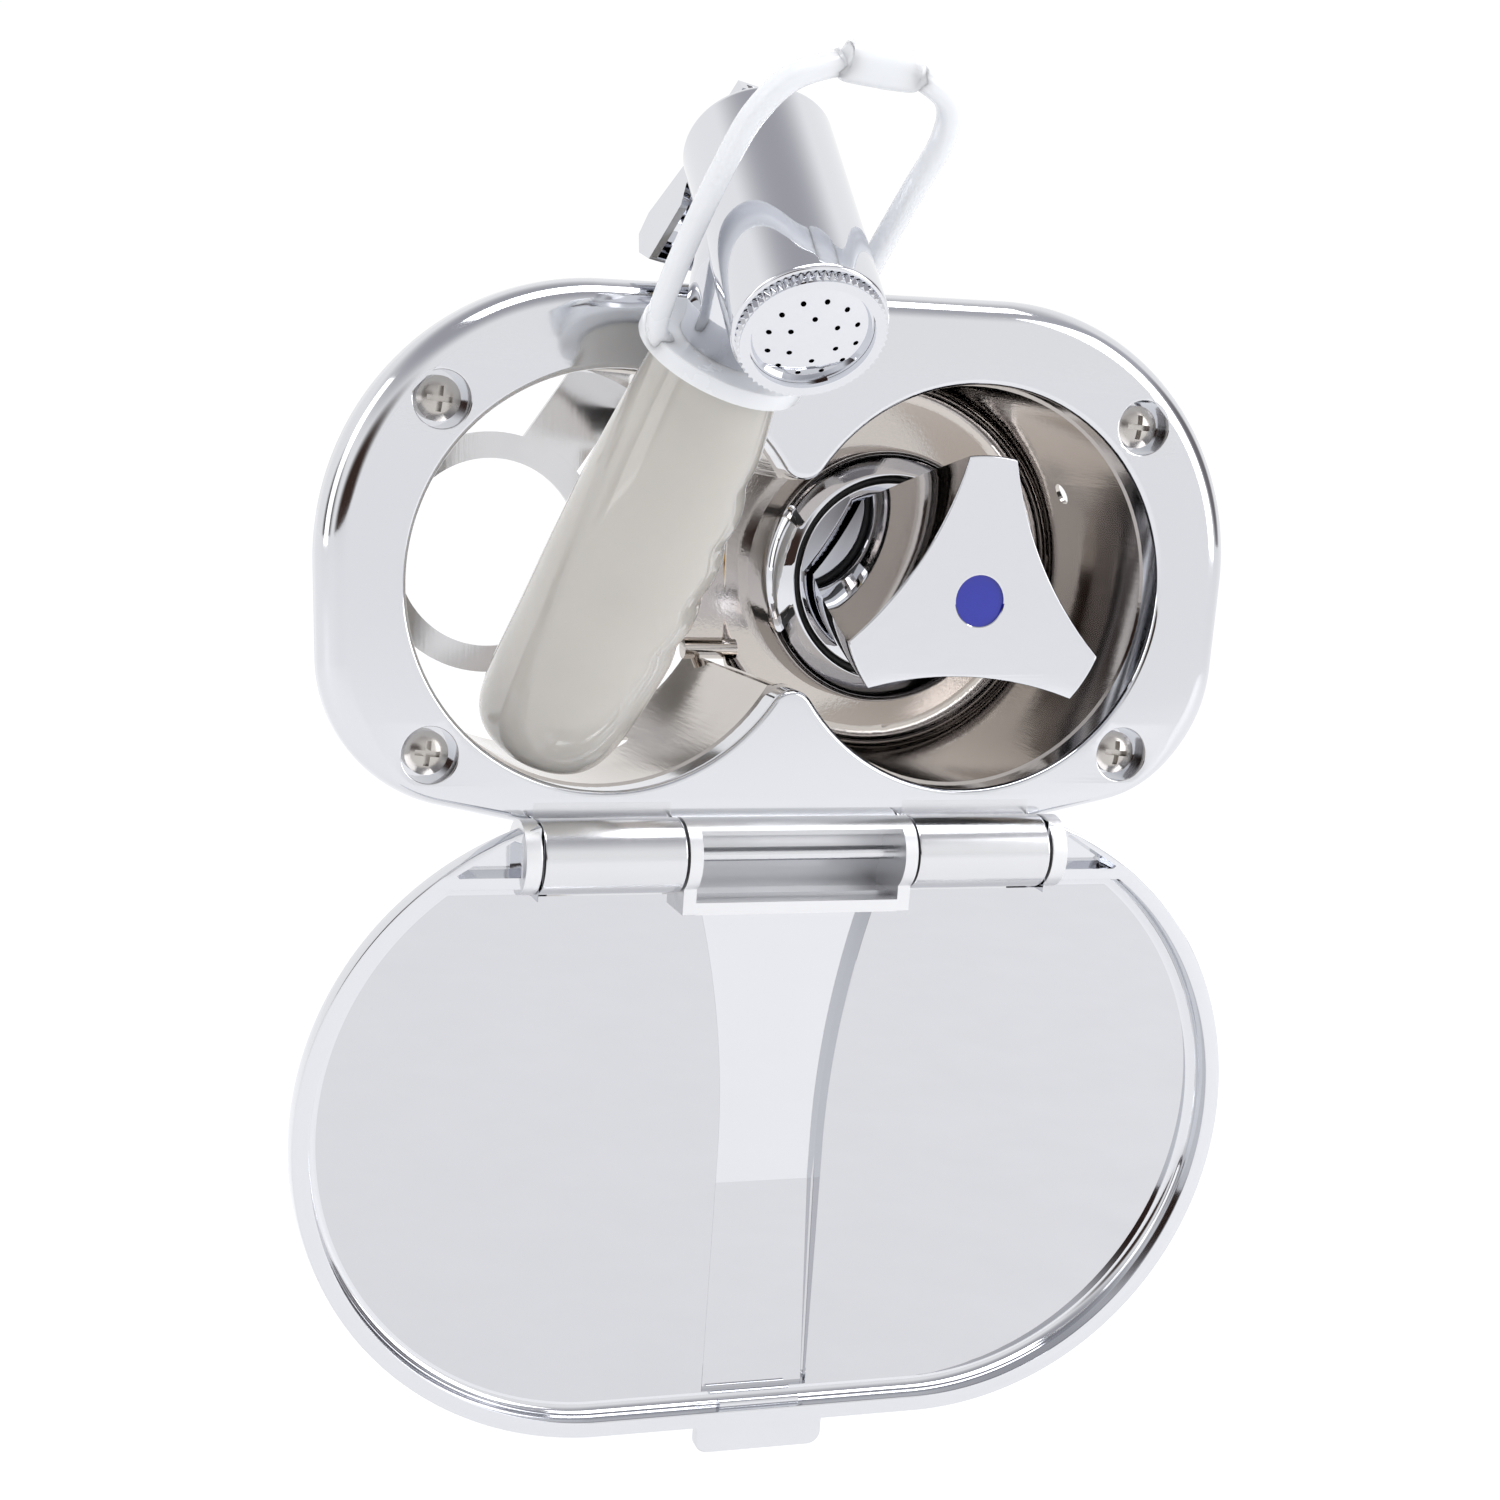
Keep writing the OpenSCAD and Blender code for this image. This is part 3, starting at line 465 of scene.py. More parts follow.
def ease(value, low, high):
    """0 below low, 1 above high and a soft S between them."""
    t = min(1.0, max(0.0, (value - low) / (high - low)))
    return t * t * (3 - 2 * t)


def quarter_round(steps):
    """Pairs (how far in, how deep) of a rounded edge from the face to the wall, both as shares of its radius."""
    turns = [math.pi / 2 * k / steps for k in range(steps + 1)]
    return [(1 - math.sin(turn), 1 - math.cos(turn)) for turn in turns]


def rounded_outline(share, y, count=240):
    """Points round the bezel at depth y, pulled in by a share of the bullnose."""
    points = []
    for k in range(count):
        turn = 2 * math.pi * (k + 0.5) / count
        side = math.copysign(1, math.cos(turn))
        reach = (side * math.cos(turn) * (TOP_CORNER[0] - LOW_CORNER[0])
                 + math.sin(turn) * (TOP_CORNER[1] - LOW_CORNER[1]) + TOP_CORNER[2] - LOW_CORNER[2])
        corner = TOP_CORNER if reach > 0 else LOW_CORNER
        wide = ease(corner[1] + corner[2] * math.sin(turn), *NARROWS)
        inset = share * (LOW_BULLNOSE + (BULLNOSE - LOW_BULLNOSE) * wide)
        points.append(((side * corner[0] + (corner[2] - inset) * math.cos(turn)) * MM, y * MM,
                       (corner[1] + (corner[2] - inset) * math.sin(turn)) * MM))
    return points


def opening_outline(grow, y, arc=88, tip=14):
    """Points round the joined openings, opened out by grow, at depth y."""
    touch = math.atan2(TIP_Z, OPENING_X)
    points = []
    for side in (1, -1):
        start = -math.pi + touch if side > 0 else touch
        centre = side * OPENING_X
        for k in range(arc + 1):
            turn = start + (2 * math.pi - 2 * touch) * k / arc
            points.append((centre + (OPENING_R + grow) * math.cos(turn), (OPENING_R + grow) * math.sin(turn)))
        tip_z = side * TIP_Z
        begin = -touch if side > 0 else math.pi - touch
        for k in range(1, tip):
            turn = begin - (math.pi - 2 * touch) * k / tip
            points.append(((TIP_R - grow) * math.cos(turn), tip_z + (TIP_R - grow) * math.sin(turn)))
    return [(x * MM, y * MM, z * MM) for x, z in points]


def make_bezel():
    """The plate: an outer and an inner wall with rounded fronts, four screw seats, and the two flat faces."""
    bm = bmesh.new()
    outer = [rounded_outline(inward, BULLNOSE * deep) for inward, deep in quarter_round(12)]
    outer.append(rounded_outline(0, BEZEL_T))
    ring_faces(bm, outer)
    inner = [opening_outline(LIP * inward, LIP * deep) for inward, deep in quarter_round(6)]
    inner.append(opening_outline(0, BEZEL_T))
    ring_faces(bm, inner)
    front = [outer[0], inner[0]]
    back = [outer[-1], inner[-1]]
    for x in (-SCREW_X, SCREW_X):
        for z in (-SCREW_Z, SCREW_Z):
            seat = [(0, SEAT_R + 0.4), (0.12, SEAT_R + 0.12), (0.4, SEAT_R), (SEAT_Y, SEAT_R),
                    (SEAT_Y, SCREW_HOLE_R), (BEZEL_T, SCREW_HOLE_R)]
            rings = [y_ring(x, y, z, r, 56) for y, r in seat]
            ring_faces(bm, rings)
            front.append(rings[0])
            back.append(rings[-1])
    flat_fill(bm, front)
    flat_fill(bm, back)
    return finish_piece("bezel_plate", bm, "frame", POLISHED, ("bezel",))


def make_barrels():
    """Two hinge barrels, each with a flat tab that runs up into the bezel's face."""
    bm = bmesh.new()
    for side in (-1, 1):
        profile = [(BARREL_INNER, PIN_BORE_R), (BARREL_INNER, BARREL_R - 0.5),
                   (BARREL_INNER + 0.15, BARREL_R - 0.15), (BARREL_INNER + 0.5, BARREL_R),
                   (BARREL_OUTER - 0.5, BARREL_R), (BARREL_OUTER - 0.15, BARREL_R - 0.15),
                   (BARREL_OUTER, BARREL_R - 0.5), (BARREL_OUTER, PIN_BORE_R)]
        ring_faces(bm, [x_ring(side * x, HINGE_Y, HINGE_Z, r) for x, r in profile])
        low_x, high_x = sorted((side * BARREL_INNER, side * BARREL_OUTER))
        tab = [(low_x, 0.4), (low_x + 0.12, 0.08), (low_x + 0.45, TAB_PROUD), (high_x - 0.45, TAB_PROUD),
               (high_x - 0.12, 0.08), (high_x, 0.4), (high_x, 3.0), (low_x, 3.0)]
        ring_faces(bm, [[(x * MM, y * MM, z * MM) for x, y in tab] for z in TAB_HEIGHTS], caps=(True, True))
    return finish_piece("hinge_barrels", bm, "frame", SATIN, ())


bezel_plate = make_bezel()
make_barrels()
print("bezel", [round(v * 1000, 1) for v in bezel_plate.dimensions])

# %% [markdown]
# ## Lid
# A shallow polished dish. It is drawn shut, lying on the bezel, and then turned open about the hinge's axis, so its
# outline and the hinge stay in step. A long channel runs down the middle of its floor, deep at the hinge and shallow
# at the finger tab.

# %% Lid helpers
LID_SIDE_X, LID_SIDE_Z, LID_R = 37.6, 2.3, 71.0
LID_FACE, LID_CAVITY, LID_RIM, LID_FILLET = -0.2, 5.7, 3.7, 2.4
NOTCH_X, NOTCH_Z, SHOULDER_Z = 58.6, -49.3, -52.0
CHANNEL_START, CHANNEL_END, FLARE_START, CHANNEL_WALL = -45.7, 67.0, 10, 1.7
FLOOR_Y = LID_FACE - LID_CAVITY
OPENED = (Matrix.Translation((0, HINGE_Y * MM, HINGE_Z * MM)) @ Matrix.Rotation(math.radians(183), 4, "X")
          @ Matrix.Translation((0, -HINGE_Y * MM, -HINGE_Z * MM)))
# One shoulder's triangular pocket, as (x, z)
POCKET = [(62.4, -54.6), (62.4, -62.0), (64.2, -62.6), (76.2, -55.2), (75.6, -54.6)]
POCKET_Y, POCKET_TAPER = -5.5, 0.8


def lid_arc(inset, low_z=None, low_x=None, count=200):
    """Points from the right foot of the lid over the top to its left foot, as (x, z)."""
    radius = LID_R - inset
    if low_z is not None:
        begin = -math.asin((LID_SIDE_Z - low_z) / radius)
    else:
        begin = -math.acos((low_x - LID_SIDE_X) / LID_R)
    points = []
    for k in range(count + 1):
        turn = begin + (math.pi - 2 * begin) * k / count
        side = math.copysign(1, math.cos(turn) + 1e-12)
        points.append((side * LID_SIDE_X + radius * math.cos(turn), LID_SIDE_Z + radius * math.sin(turn)))
    return points


def channel_half(z):
    """Half the channel's width: even at the finger tab's end, and flaring towards the hinge."""
    return 12.5 + 7.8 * max(0.0, (FLARE_START - z) / (FLARE_START - CHANNEL_START)) ** 2


def channel_deep(z):
    """The channel's depth: a straight slope from the finger tab down to the hinge."""
    return 1.5 + 6.1 * (CHANNEL_END - z) / (CHANNEL_END - CHANNEL_START)


def outer_ring(inset, y):
    """The lid's whole outline at depth y: the arc, closed by the straight edge of the notch at the hinge."""
    arc = lid_arc(inset, low_x=NOTCH_X)
    foot_x, foot_z = arc[0]
    level = max(NOTCH_Z, foot_z + 0.01)
    return at_depth(arc + [(-min(NOTCH_X, foot_x), level), (min(NOTCH_X, foot_x), level)], y)


print("lid floor", LID_CAVITY, "mm deep, channel",
      [round(channel_deep(z), 1) for z in (CHANNEL_START, CHANNEL_END)], "mm deeper")

# %% [markdown]
# The dish is made skin by skin: the outside, the inner wall, the rim, the floor with its channel, and the channel's
# back. The floor has a mirror finish of its own.

# %% Lid
def lid_outside(bm):
    """Edge rounding, side wall and domed back. The side wall stays open along the notch."""
    skin = [(0.5, LID_FACE), (0.15, LID_FACE - 0.15), (0, LID_FACE - 0.5), (0, LID_FACE - 3.0), (0, FLOOR_Y + 0.9),
            (0.35, FLOOR_Y - 0.1), (1.3, FLOOR_Y - 1.2), (3.2, FLOOR_Y - 2.2), (6.5, FLOOR_Y - 3.0),
            (12, FLOOR_Y - 3.7), (22, FLOOR_Y - 4.1)]
    rings = [[bm.verts.new(p) for p in outer_ring(inset, y)] for inset, y in skin]
    count = len(rings[0])
    notch = count - 2
    for (a, b), (_, y) in zip(zip(rings, rings[1:]), skin[1:]):
        for k in range(count):
            if k == notch and y > FLOOR_Y + 0.5:
                continue
            bm.faces.new((a[k], a[(k + 1) % count], b[(k + 1) % count], b[k]))
    bm.faces.new(list(reversed(rings[-1])))


def lid_inner_wall(bm):
    """Inner wall with its fillet down to the floor, open at the notch. Gives its first and last paths."""
    walls = [(LID_RIM - 0.35, LID_FACE), (LID_RIM - 0.1, LID_FACE - 0.1), (LID_RIM, LID_FACE - 0.4),
             (LID_RIM, FLOOR_Y + LID_FILLET)]
    walls += [(LID_RIM + LID_FILLET * deep, FLOOR_Y + LID_FILLET * inward) for inward, deep in quarter_round(8)[1:]]
    paths = []
    for inset, y in walls:
        level = SHOULDER_Z + (inset - LID_RIM)
        arc = lid_arc(inset, low_z=level)
        paths.append(at_depth([(NOTCH_X, level)] + arc + [(-NOTCH_X, level)], y))
    ring_faces(bm, paths, closed=False)
    return paths[0], paths[-1]


def lid_rim(bm, inner_edge):
    """Rim face: an open ring, with a pocket in each shoulder."""
    outer_edge = at_depth(lid_arc(0.5, low_x=NOTCH_X), LID_FACE)
    pockets = [[(side * x, z) for x, z in POCKET] for side in (-1, 1)]
    flat_fill(bm, [outer_edge + list(reversed(inner_edge))] + [at_depth(p, LID_FACE) for p in pockets])
    for pocket in pockets:
        centre_x = sum(x for x, z in pocket) / len(pocket)
        centre_z = sum(z for x, z in pocket) / len(pocket)
        small = [(centre_x + (x - centre_x) * POCKET_TAPER, centre_z + (z - centre_z) * POCKET_TAPER)
                 for x, z in pocket]
        ring_faces(bm, [at_depth(pocket, LID_FACE), at_depth(pocket, LID_FACE - 1.0), at_depth(small, POCKET_Y)],
                   caps=(False, True))


def lid_floor(bm, wall_foot, stations):
    """Floor with the channel let into it."""
    mouth = [(channel_half(z), z) for z in stations] + [(-channel_half(z), z) for z in reversed(stations)]
    floor_edge = wall_foot + at_depth([(-NOTCH_X, NOTCH_Z), (NOTCH_X, NOTCH_Z)], FLOOR_Y)
    flat_fill(bm, [floor_edge, at_depth(mouth, FLOOR_Y)], material=1)
    rows = []
    for z in stations:
        half, deep = channel_half(z), channel_deep(z)
        side_wall = [(half, FLOOR_Y), (half - 0.1, FLOOR_Y - 0.1), (half - 0.25, FLOOR_Y - deep + 0.3),
                     (half - 0.6, FLOOR_Y - deep)]
        row = side_wall + [(-x, y) for x, y in reversed(side_wall)]
        rows.append([(x * MM, y * MM, z * MM) for x, y in row])
    ring_faces(bm, rows, closed=False, material=1)
    for end in (rows[0], rows[-1]):
        bm.faces.new([bm.verts.new(p) for p in end])


def channel_back(bm, stations):
    """Back of the channel, standing out of the lid's back near the hinge."""
    inside, bevel, overhang = -8.0, 0.8, 2.9
    rows = []
    for z in [CHANNEL_START - overhang] + stations[4:]:
        level = max(z, CHANNEL_START)
        half, y = channel_half(level) + CHANNEL_WALL, FLOOR_Y - channel_deep(level) - CHANNEL_WALL
        side_wall = [(half, inside), (half, y + bevel), (half - bevel, y)]
        row = side_wall + [(-x, depth) for x, depth in reversed(side_wall)]
        rows.append([(x * MM, depth * MM, z * MM) for x, depth in row])
    ring_faces(bm, rows, closed=False)
    bm.faces.new([bm.verts.new(p) for p in rows[0]])


def make_lid():
    bm = bmesh.new()
    stations = [CHANNEL_START + (CHANNEL_END - CHANNEL_START) * k / 40 for k in range(41)]
    lid_outside(bm)
    rim_edge, wall_foot = lid_inner_wall(bm)
    lid_rim(bm, rim_edge)
    lid_floor(bm, wall_foot, stations)
    channel_back(bm, stations)
    bm.transform(OPENED)
    return finish_piece("lid_dish", bm, "lid", [POLISHED, MIRROR], ("lid",))


make_lid()

# %% [markdown]
# Two smaller parts complete the lid: the knuckle that turns between the bezel's barrels, and the finger tab.

# %% Lid knuckle and finger tab
KNUCKLE_X, WINDOW_X, PIN_ROOM_R = 26.2, 23.3, 6.4
# How far above the hinge's axis the knuckle's round front runs out into the lid's face
KNUCKLE_RISE = 6.49
# The discs that close the barrels' outer ends
END_DISC = (58.65, 62.2)
KNUCKLE_BACK = [(-13.6, -55.5), (-15.2, -52.5), (-15.2, CHANNEL_START)]
TAB_HALF, TAB_FOOT, TAB_TOP, TAB_CORNER = 15.0, 70.2, 79.3, 3.0


def extrude_profile(bm, profile, x0, x1):
    """A closed outline in (y, z), extruded along X."""
    rings = [at_side(profile, x) for x in (x0, x1)]
    ring_faces(bm, rings)
    for ring in rings:
        flat_fill(bm, [ring])


def arc_points(cy, cz, radius, start, end, count=24):
    """Points along an arc from one angle to another, in degrees."""
    return [(cy + radius * math.cos(math.radians(start + (end - start) * k / count)),
             cz + radius * math.sin(math.radians(start + (end - start) * k / count))) for k in range(count + 1)]


def make_lid_knuckle():
    """The middle knuckle: two end walls and a curved back between them, which leave a window to the pin."""
    bm = bmesh.new()
    meet = math.degrees(math.asin(KNUCKLE_RISE / BARREL_R))
    outer = (arc_points(HINGE_Y, HINGE_Z, BARREL_R, meet, -180, 40) + KNUCKLE_BACK
             + [(LID_FACE - 0.15, CHANNEL_START), (LID_FACE, CHANNEL_START - 0.15)])
    for x0, x1 in ((-KNUCKLE_X, -WINDOW_X), (WINDOW_X, KNUCKLE_X)):
        extrude_profile(bm, outer, x0, x1)
    shell = (arc_points(HINGE_Y, HINGE_Z, BARREL_R, -52, -180, 30) + KNUCKLE_BACK
             + [(LID_FACE, CHANNEL_START), (LID_FACE, -48.4), (-13.2, -48.4), (-13.2, -52.8)]
             + arc_points(HINGE_Y, HINGE_Z, PIN_ROOM_R, -190, -52, 30))
    extrude_profile(bm, shell, -WINDOW_X, WINDOW_X)
    start, end = END_DISC
    for side in (-1, 1):
        profile = [(start, BARREL_R - 0.3), (start + 0.1, BARREL_R - 0.1), (start + 0.35, BARREL_R),
                   (end, BARREL_R)]
        rings = [x_ring(side * x, HINGE_Y, HINGE_Z, r) for x, r in profile]
        ring_faces(bm, rings, caps=(True, True))
    bm.transform(OPENED)
    return finish_piece("lid_knuckle", bm, "lid", PALE, ())


def make_lid_tab():
    """The finger tab, a plate with two round corners and eased edges."""
    bm = bmesh.new()
    corner_x, corner_z = TAB_HALF - TAB_CORNER, TAB_TOP - TAB_CORNER
    outline = ([(TAB_HALF, TAB_FOOT)] + arc_points(corner_x, corner_z, TAB_CORNER, 0, 90, 8)
               + arc_points(-corner_x, corner_z, TAB_CORNER, 90, 180, 8) + [(-TAB_HALF, TAB_FOOT)])

    def tab_ring(inset, y):
        return at_depth([(x - math.copysign(inset, x), z - inset * (z > TAB_FOOT + 1)) for x, z in outline], y)

    ring_faces(bm, [tab_ring(0.5, LID_FACE - 0.05), tab_ring(0.15, LID_FACE - 0.2), tab_ring(0, LID_FACE - 0.55),
                    tab_ring(0, LID_FACE - 2.6), tab_ring(0.4, LID_FACE - 3.0)], caps=(True, True))
    bm.transform(OPENED)
    return finish_piece("lid_tab", bm, "lid", POLISHED, ())


make_lid_knuckle()
make_lid_tab()

# %% [markdown]
# ## Hand shower
# The handle is a slightly bowed oval loft in glossy ivory plastic, with shallow finger grooves on one side. It is
# drawn upright in its own frame and then placed with one matrix, which gives it the lean, turn and roll of the CAD's.

# %% Handle
FOOT = Vector((-53.0, 19.5, -36.8)) * MM
SHOWER = (Matrix.Translation(FOOT) @ Matrix.Rotation(math.radians(-64.1), 4, "Z")
          @ Matrix.Rotation(math.radians(31.7), 4, "Y") @ Matrix.Rotation(math.radians(-22.3), 4, "Z"))
# The handle's half widths along and across the bow, each after its height
SECTIONS = [(0, 9, 8.6), (0.8, 12, 11.2), (3, 14.8, 13.8), (7, 16.6, 15.4), (15, 17.8, 16.4), (30, 18.6, 17.0),
            (50, 19, 17.3), (70, 18, 16.6), (85, 16.3, 15.2), (94, 15, 14.1), (99.3, 14.2, 13.5)]
HANDLE_H, BOW, BOW_SPAN = SECTIONS[-1][0], 16.8, 100
GROOVES, GROOVE_TURN, GROOVE_SPREAD, GROOVE_HALF = (40, 53, 66, 79), math.radians(62), 0.62, 3.6


def between(table, where):
    """Smooth value of each column of the table at the given first column, by Catmull-Rom."""
    for k in range(len(table) - 1):
        if table[k][0] <= where <= table[k + 1][0]:
            break
    p = [table[max(0, min(len(table) - 1, k + d))] for d in (-1, 0, 1, 2)]
    t = (where - p[1][0]) / (p[2][0] - p[1][0])
    result = []
    for c in range(1, len(table[0])):
        m1 = (p[2][c] - p[0][c]) / max(1e-6, p[2][0] - p[0][0]) * (p[2][0] - p[1][0])
        m2 = (p[3][c] - p[1][c]) / max(1e-6, p[3][0] - p[1][0]) * (p[2][0] - p[1][0])
        result.append((2 * t**3 - 3 * t**2 + 1) * p[1][c] + (t**3 - 2 * t**2 + t) * m1
                      + (3 * t**2 - 2 * t**3) * p[2][c] + (t**3 - t**2) * m2)
    return result


def make_handle():
    """Oval rings up the bowed handle, each dented where a finger groove crosses it."""
    bm = bmesh.new()
    heights = [0, 0.25, 0.5, 0.8, 1.3, 2, 3, 4.2, 5.5, 7] + [7 + 91.6 * k / 96 for k in range(1, 97)]
    rings = []
    for h in heights + [HANDLE_H - 0.3, HANDLE_H]:
        a, b = between(SECTIONS, h)
        if h == HANDLE_H:
            a, b = a - 0.4, b - 0.4
        bow = BOW * (h / BOW_SPAN) * (1 - h / BOW_SPAN)
        ring = []
        for k in range(72):
            turn = 2 * math.pi * k / 72
            side = math.exp(-((turn - GROOVE_TURN) / GROOVE_SPREAD) ** 2)
            dent = sum(side * math.exp(-((h - groove) / GROOVE_HALF) ** 2) for groove in GROOVES)
            ring.append(((bow + (a - dent) * math.cos(turn)) * MM, (b - dent) * math.sin(turn) * MM, h * MM))
        rings.append(ring)
    ring_faces(bm, rings, caps=(True, True))
    bm.transform(SHOWER)
    return finish_piece("shower_handle", bm, "handset", IVORY, ("handle_grip",), 50.0)


make_handle()

# %% [markdown]
# The strap is one soft milky moulding: a collar round the neck and a loop that rises beside the head. A flattened
# tube follows a smooth path, and it thickens where the hanging pad sits at the top.

# %% Strap
# The loop's path as (sideways, height, half width, half thickness)
STRAP = [(-14.5, 101.5, 2.9, 2.2), (-17.6, 104.5, 2.9, 2.2), (-18.9, 112, 2.8, 2.1), (-19.5, 125, 2.8, 2.1),
         (-19.4, 140, 2.8, 2.1), (-18.4, 152, 2.8, 2.2), (-14.3, 161.5, 2.8, 2.3), (-6.5, 167.2, 2.8, 2.4),
         (-5, 167.9, 3.4, 3.9), (7.5, 169.7, 3.4, 3.9), (9, 169.6, 2.8, 2.4), (17.5, 166.5, 2.8, 2.3),
         (20.6, 159, 2.8, 2.2), (19.9, 147, 2.8, 2.1), (19.2, 133, 2.8, 2.1), (18.8, 114, 2.8, 2.1),
         (17.6, 104.5, 2.9, 2.2), (14.5, 101.5, 2.9, 2.2)]
STRAP_PLANE, STRAP_SQUARENESS = 3.5, 0.8


def catmull(points, per=8):
    """A smooth path through the points, with the same number of steps between each two."""
    result = []
    for k in range(len(points) - 1):
        p = [points[max(0, min(len(points) - 1, k + d))] for d in (-1, 0, 1, 2)]
        for j in range(per):
            t = j / per
            result.append(tuple(0.5 * (2 * p[1][c] + (p[2][c] - p[0][c]) * t
                                       + (2 * p[0][c] - 5 * p[1][c] + 4 * p[2][c] - p[3][c]) * t * t
                                       + (3 * p[1][c] - p[0][c] - 3 * p[2][c] + p[3][c]) * t**3)
                                for c in range(len(points[0]))))
    return result + [tuple(points[-1])]


def make_strap():
    """The loop as a flattened tube along its path, and the collar round the neck."""
    bm = bmesh.new()
    path = catmull(STRAP)
    rings = []
    for k, (side, height, wide, thick) in enumerate(path):
        before, after = path[max(0, k - 1)], path[min(len(path) - 1, k + 1)]
        turn = math.atan2(after[1] - before[1], after[0] - before[0])
        ring = []
        for j in range(20):
            angle = 2 * math.pi * j / 20
            c, s = math.cos(angle), math.sin(angle)
            u = wide * math.copysign(abs(c) ** STRAP_SQUARENESS, c)
            v = thick * math.copysign(abs(s) ** STRAP_SQUARENESS, s)
            ring.append(((STRAP_PLANE + u) * MM, (side + v * math.sin(turn)) * MM,
                         (height - v * math.cos(turn)) * MM))
        rings.append(ring)
    ring_faces(bm, rings, caps=(True, True))
    collar = [(10.4, 99.5), (17.4, 99.35), (17.8, 99.5), (18, 99.9), (18, 102.6), (17.8, 103.1), (17.2, 103.3),
              (10.4, 103.3)]
    ring_faces(bm, [[(u * MM, v * MM, h * MM) for u, v in circle(r, 72)] for r, h in collar + collar[:1]])
    bm.transform(SHOWER)
    return finish_piece("strap_loop", bm, "handset", MILKY, ("hang_strap",), 40.0)


make_strap()

# %% [markdown]
# The head is a chrome-plated casting: a round barrel with eased ends, on a neck that flares up into it. Two turned
# profiles that run into each other give it, and the barrel's profile turns inward at the front to seat the knurled
# nut and the rose.

# %% Spray head
HEAD_H, HEAD_BACK, HEAD_R, HEAD_LEN, DROOP = 129.6, 28.0, 15.5, 57.0, 11.5
HEAD_WALL, HEAD_EASE, NECK_FOOT, NECK_TOP = 2.6, 2.2, 99.4, 130.0
HEAD = (SHOWER @ Matrix.Translation((0, 0, HEAD_H * MM)) @ Matrix.Rotation(math.radians(90 + DROOP), 4, "Y")
        @ Matrix.Translation((0, 0, -HEAD_BACK * MM)))
TRIGGER_PIVOT, LUG_R, LUG_HALF = (-5.0, -3.8), 2.4, 3


def turned(bm, profile, place, count=96, caps=(False, False)):
    """Turns (radius, height) pairs about the local Z axis and places the result."""
    rings = [[place @ Vector((u * MM, v * MM, h * MM)) for u, v in circle(r, count)] for r, h in profile]
    ring_faces(bm, rings, caps=caps)


def make_head():
    """Barrel, flared neck and the lug that the trigger turns in."""
    bm = bmesh.new()
    eased_back = [(HEAD_R - HEAD_WALL * inward, HEAD_EASE * deep) for inward, deep in quarter_round(10)]
    barrel = ([(7.0, 0.0)] + eased_back + [(HEAD_R, 20.0), (HEAD_R, 38.0), (HEAD_R, HEAD_LEN - 1.1),
              (HEAD_R - 0.1, HEAD_LEN - 0.55), (HEAD_R - 0.4, HEAD_LEN - 0.15), (HEAD_R - 0.9, HEAD_LEN),
              (HEAD_R - HEAD_WALL, HEAD_LEN), (HEAD_R - HEAD_WALL, 40.0)])
    turned(bm, barrel, HEAD, caps=(True, True))
    flare = [(99.3, 9.6), (99.35, 10.4), (104.3, 10.4), (107.5, 11.0), (111, 12.0), (115.5, 13.2), (120, 14.2),
             (125, 14.75), (NECK_TOP, 15.0)]
    heights = [NECK_FOOT + (NECK_TOP - NECK_FOOT) * k / 40 for k in range(41)]
    turned(bm, [(between(flare, h)[0], h) for h in heights], SHOWER, caps=(True, True))
    x, z = TRIGGER_PIVOT
    lug = [(x - LUG_R, z + 5)] + arc_points(x, z, LUG_R, -180, 0, 12) + [(x + LUG_R, z + 5)]
    ring_faces(bm, [[HEAD @ Vector(p) for p in at_depth(lug, y)] for y in (-LUG_HALF, LUG_HALF)], caps=(True, True))
    return finish_piece("spray_barrel", bm, "handset", CHROME, ("spray_head",), 40.0)


make_head()

# %% [markdown]
# ## Tap knob
# A three-lobed knob cut from a round bar: three wide scoops leave three tips, and the bar tapers a little towards its
# face. Every ring is worked out from those circles, and a small eased edge catches the light round the mirror face.

# %% Knob
KNOB_X, KNOB_Z, KNOB_FACE, KNOB_BACK = 40.8, -2.1, -4.8, 46.4
KNOB_R, KNOB_BACK_R, SCOOP_AT, SCOOP_R = 32, 20.5, 101.0, 84.0
CAP_R, CAP_SEAT, SOCKET_R, SOCKET_Y, STEM_R, STEM_Y = 5.7, 1.2, 15.2, 22.0, 4.05, 8.0
SCOOP_TURNS = [math.radians(turn - 2.5) for turn in (30, 150, 270)]
# The face's eased edge, as (how far in, how deep)
KNOB_EDGE = [(0.45, 0.0), (0.3, 0.04), (0.13, 0.14), (0.04, 0.3), (0.0, 0.5)]


def knob_ring(tip_r, inset, y, scoop_steps=30, tip_steps=12):
    """Points round the knob at depth y, as a scoop and a tip three times over."""
    tip_cos = (tip_r**2 + SCOOP_AT**2 - SCOOP_R**2) / (2 * tip_r * SCOOP_AT)
    half = math.acos(tip_cos)
    points = []
    for turn in SCOOP_TURNS:
        for k in range(scoop_steps + 1):
            off = half * (2 * k / scoop_steps - 1)
            reach = SCOOP_AT * math.cos(off) - math.sqrt(SCOOP_R**2 - (SCOOP_AT * math.sin(off)) ** 2)
            points.append((reach - inset, turn + off))
        tip = 2 * math.pi / 3 - 2 * half
        points += [(tip_r - inset, turn + half + tip * k / tip_steps) for k in range(1, tip_steps)]
    return [((KNOB_X + r * math.cos(a)) * MM, y * MM, (KNOB_Z + r * math.sin(a)) * MM) for r, a in points]


def knob_bore(bm, profile):
    """A turned hole in the knob from (radius, depth) pairs. Gives its mouth."""
    rings = [y_ring(KNOB_X, y, KNOB_Z, r, 72) for r, y in profile]
    ring_faces(bm, rings, caps=(False, True))
    return rings[0]


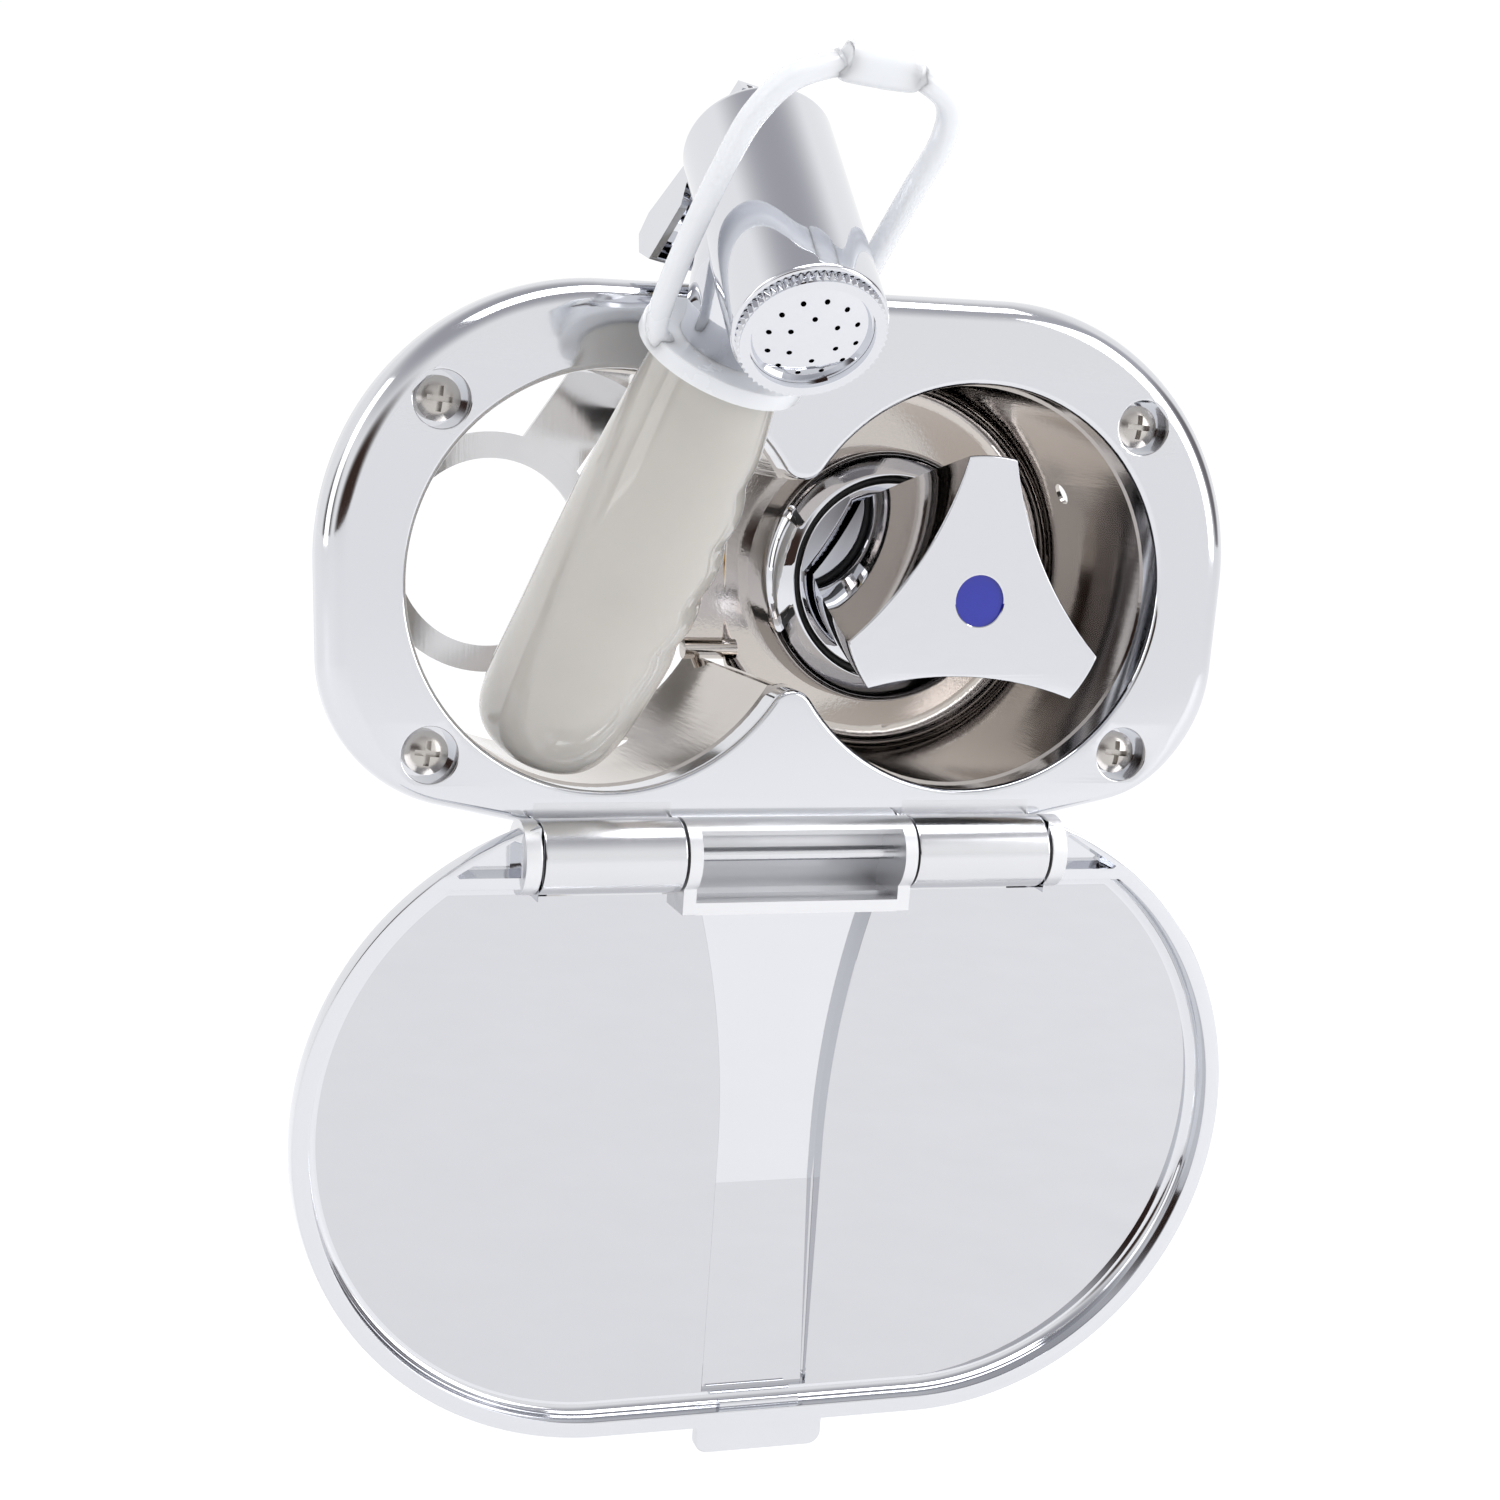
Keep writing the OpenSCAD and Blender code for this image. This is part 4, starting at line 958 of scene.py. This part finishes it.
def make_knob():
    """The tapering three-lobed body, the cap's well in its face and the stepped socket in its back."""
    bm = bmesh.new()
    rings = [knob_ring(KNOB_R, inset, KNOB_FACE + y) for inset, y in KNOB_EDGE]
    taper_start, taper_end, taper_steps = KNOB_FACE + KNOB_EDGE[-1][1], KNOB_BACK - 1.0, 8
    for k in range(1, taper_steps + 1):
        share = k / taper_steps
        rings.append(knob_ring(KNOB_R + (KNOB_BACK_R - KNOB_R) * share, 0,
                               taper_start + (taper_end - taper_start) * share))
    rings.append(knob_ring(KNOB_BACK_R, 0.3, KNOB_BACK - 0.3))
    rings.append(knob_ring(KNOB_BACK_R, 0.9, KNOB_BACK))
    ring_faces(bm, rings)
    well_mouth = knob_bore(bm, [(CAP_R + 0.25, KNOB_FACE), (CAP_R + 0.05, KNOB_FACE + 0.12),
                                (CAP_R, KNOB_FACE + 0.4), (CAP_R, CAP_SEAT)])
    flat_fill(bm, [rings[0], well_mouth])
    socket_mouth = knob_bore(bm, [(SOCKET_R, KNOB_BACK), (SOCKET_R, SOCKET_Y),
                                  (STEM_R, SOCKET_Y), (STEM_R, STEM_Y)])
    flat_fill(bm, [rings[-1], socket_mouth])
    return finish_piece("three_lobe_knob", bm, "tap_handle", CHROME, ("tap_knob",), 30.0)


make_knob()

# %% [markdown]
# The rosette behind the knob is a spun chrome dish with a black ring pressed into it. It is one turned profile, and
# the ring is a second one that sits in the groove.

# %% Rosette and its black ring
ROSETTE_FACE, CUP_FLOOR = 47.5, 62.0
GROOVE_OUTER, GROOVE_INNER, RING_GAP = 24.1, 22.4, 0.05
TAP_AXIS = Matrix.Translation((KNOB_X * MM, 0, KNOB_Z * MM)) @ Matrix.Rotation(math.radians(-90), 4, "X")


def make_rosette():
    """The dish from its rim over the groove to its hub, then the black ring in the groove."""
    bm = bmesh.new()
    dish = [(30.8, CUP_FLOOR), (30.5, 54.0), (30.1, 51.4), (29.4, 50.0), (28.2, 49.1), (26.6, 48.3), (25.3, 47.75),
            (24.7, 47.52), (24.4, ROSETTE_FACE), (24.2, 47.7), (GROOVE_OUTER, 48.1), (GROOVE_OUTER, 52.0),
            (GROOVE_INNER, 52.0), (GROOVE_INNER, 49.7), (22.3, 49.35), (22.0, 49.2), (15.0, 49.2), (14.0, 49.4),
            (14.0, 55.0)]
    turned(bm, dish, TAP_AXIS)
    finish_piece("tap_rosette", bm, "frame", CHROME, ("escutcheon",), 30.0)
    bm = bmesh.new()
    outer, inner = GROOVE_OUTER - RING_GAP, GROOVE_INNER + RING_GAP
    turned(bm, [(outer, 51.9), (outer, 49.6), (23.7, 49.2), (23.2, 49.1), (22.8, 49.2), (inner, 49.6),
                (inner, 51.9), (outer, 51.9)], TAP_AXIS)
    finish_piece("rosette_ring", bm, "frame", RUBBER, ("escutcheon_seal",), 40.0)


make_rosette()

# %% [markdown]
# ## Carried-over pieces
# The turned and drawn metal parts already have their true shape in the frame. They keep it, and each gets the finish
# that belongs to it. The pieces that were rebuilt above get theirs too, so that the frame looks right on its own.

# %% Finishes on the frame's own pieces
def paint(name, material):
    piece = nodes[name]
    piece.data.materials.clear()
    piece.data.materials.append(material)
    for polygon in piece.data.polygons:
        polygon.material_index = 0


FINISHES = {
    POLISHED: ("bezel", "lid", "lid_catch"),
    SATIN: ("hinge_pin",),
    CHROME: ("escutcheon", "tap_knob", "spray_head", "spray_nut", "spray_plate", "trigger"),
    DRAWN: ("recess_cup",),
    STEEL: ("handset_ring",),
    SCREW: ("mounting_screws", "ring_rivets", "knob_screw", "trigger_pin"),
    BRASS: ("tap_body", "tap_locknut", "tap_headwork", "tap_spindle", "hose_socket", "valve_plunger"),
    RUBBER: ("bezel_gasket", "escutcheon_seal", "spray_seal"),
    BLUE: ("knob_cap",),
    IVORY: ("handle_grip",),
    MILKY: ("hang_strap",),
}
for material, names in FINISHES.items():
    for name in names:
        paint(name, material)
print("finishes set on", sum(len(names) for names in FINISHES.values()), "of", len(nodes), "pieces of the frame")
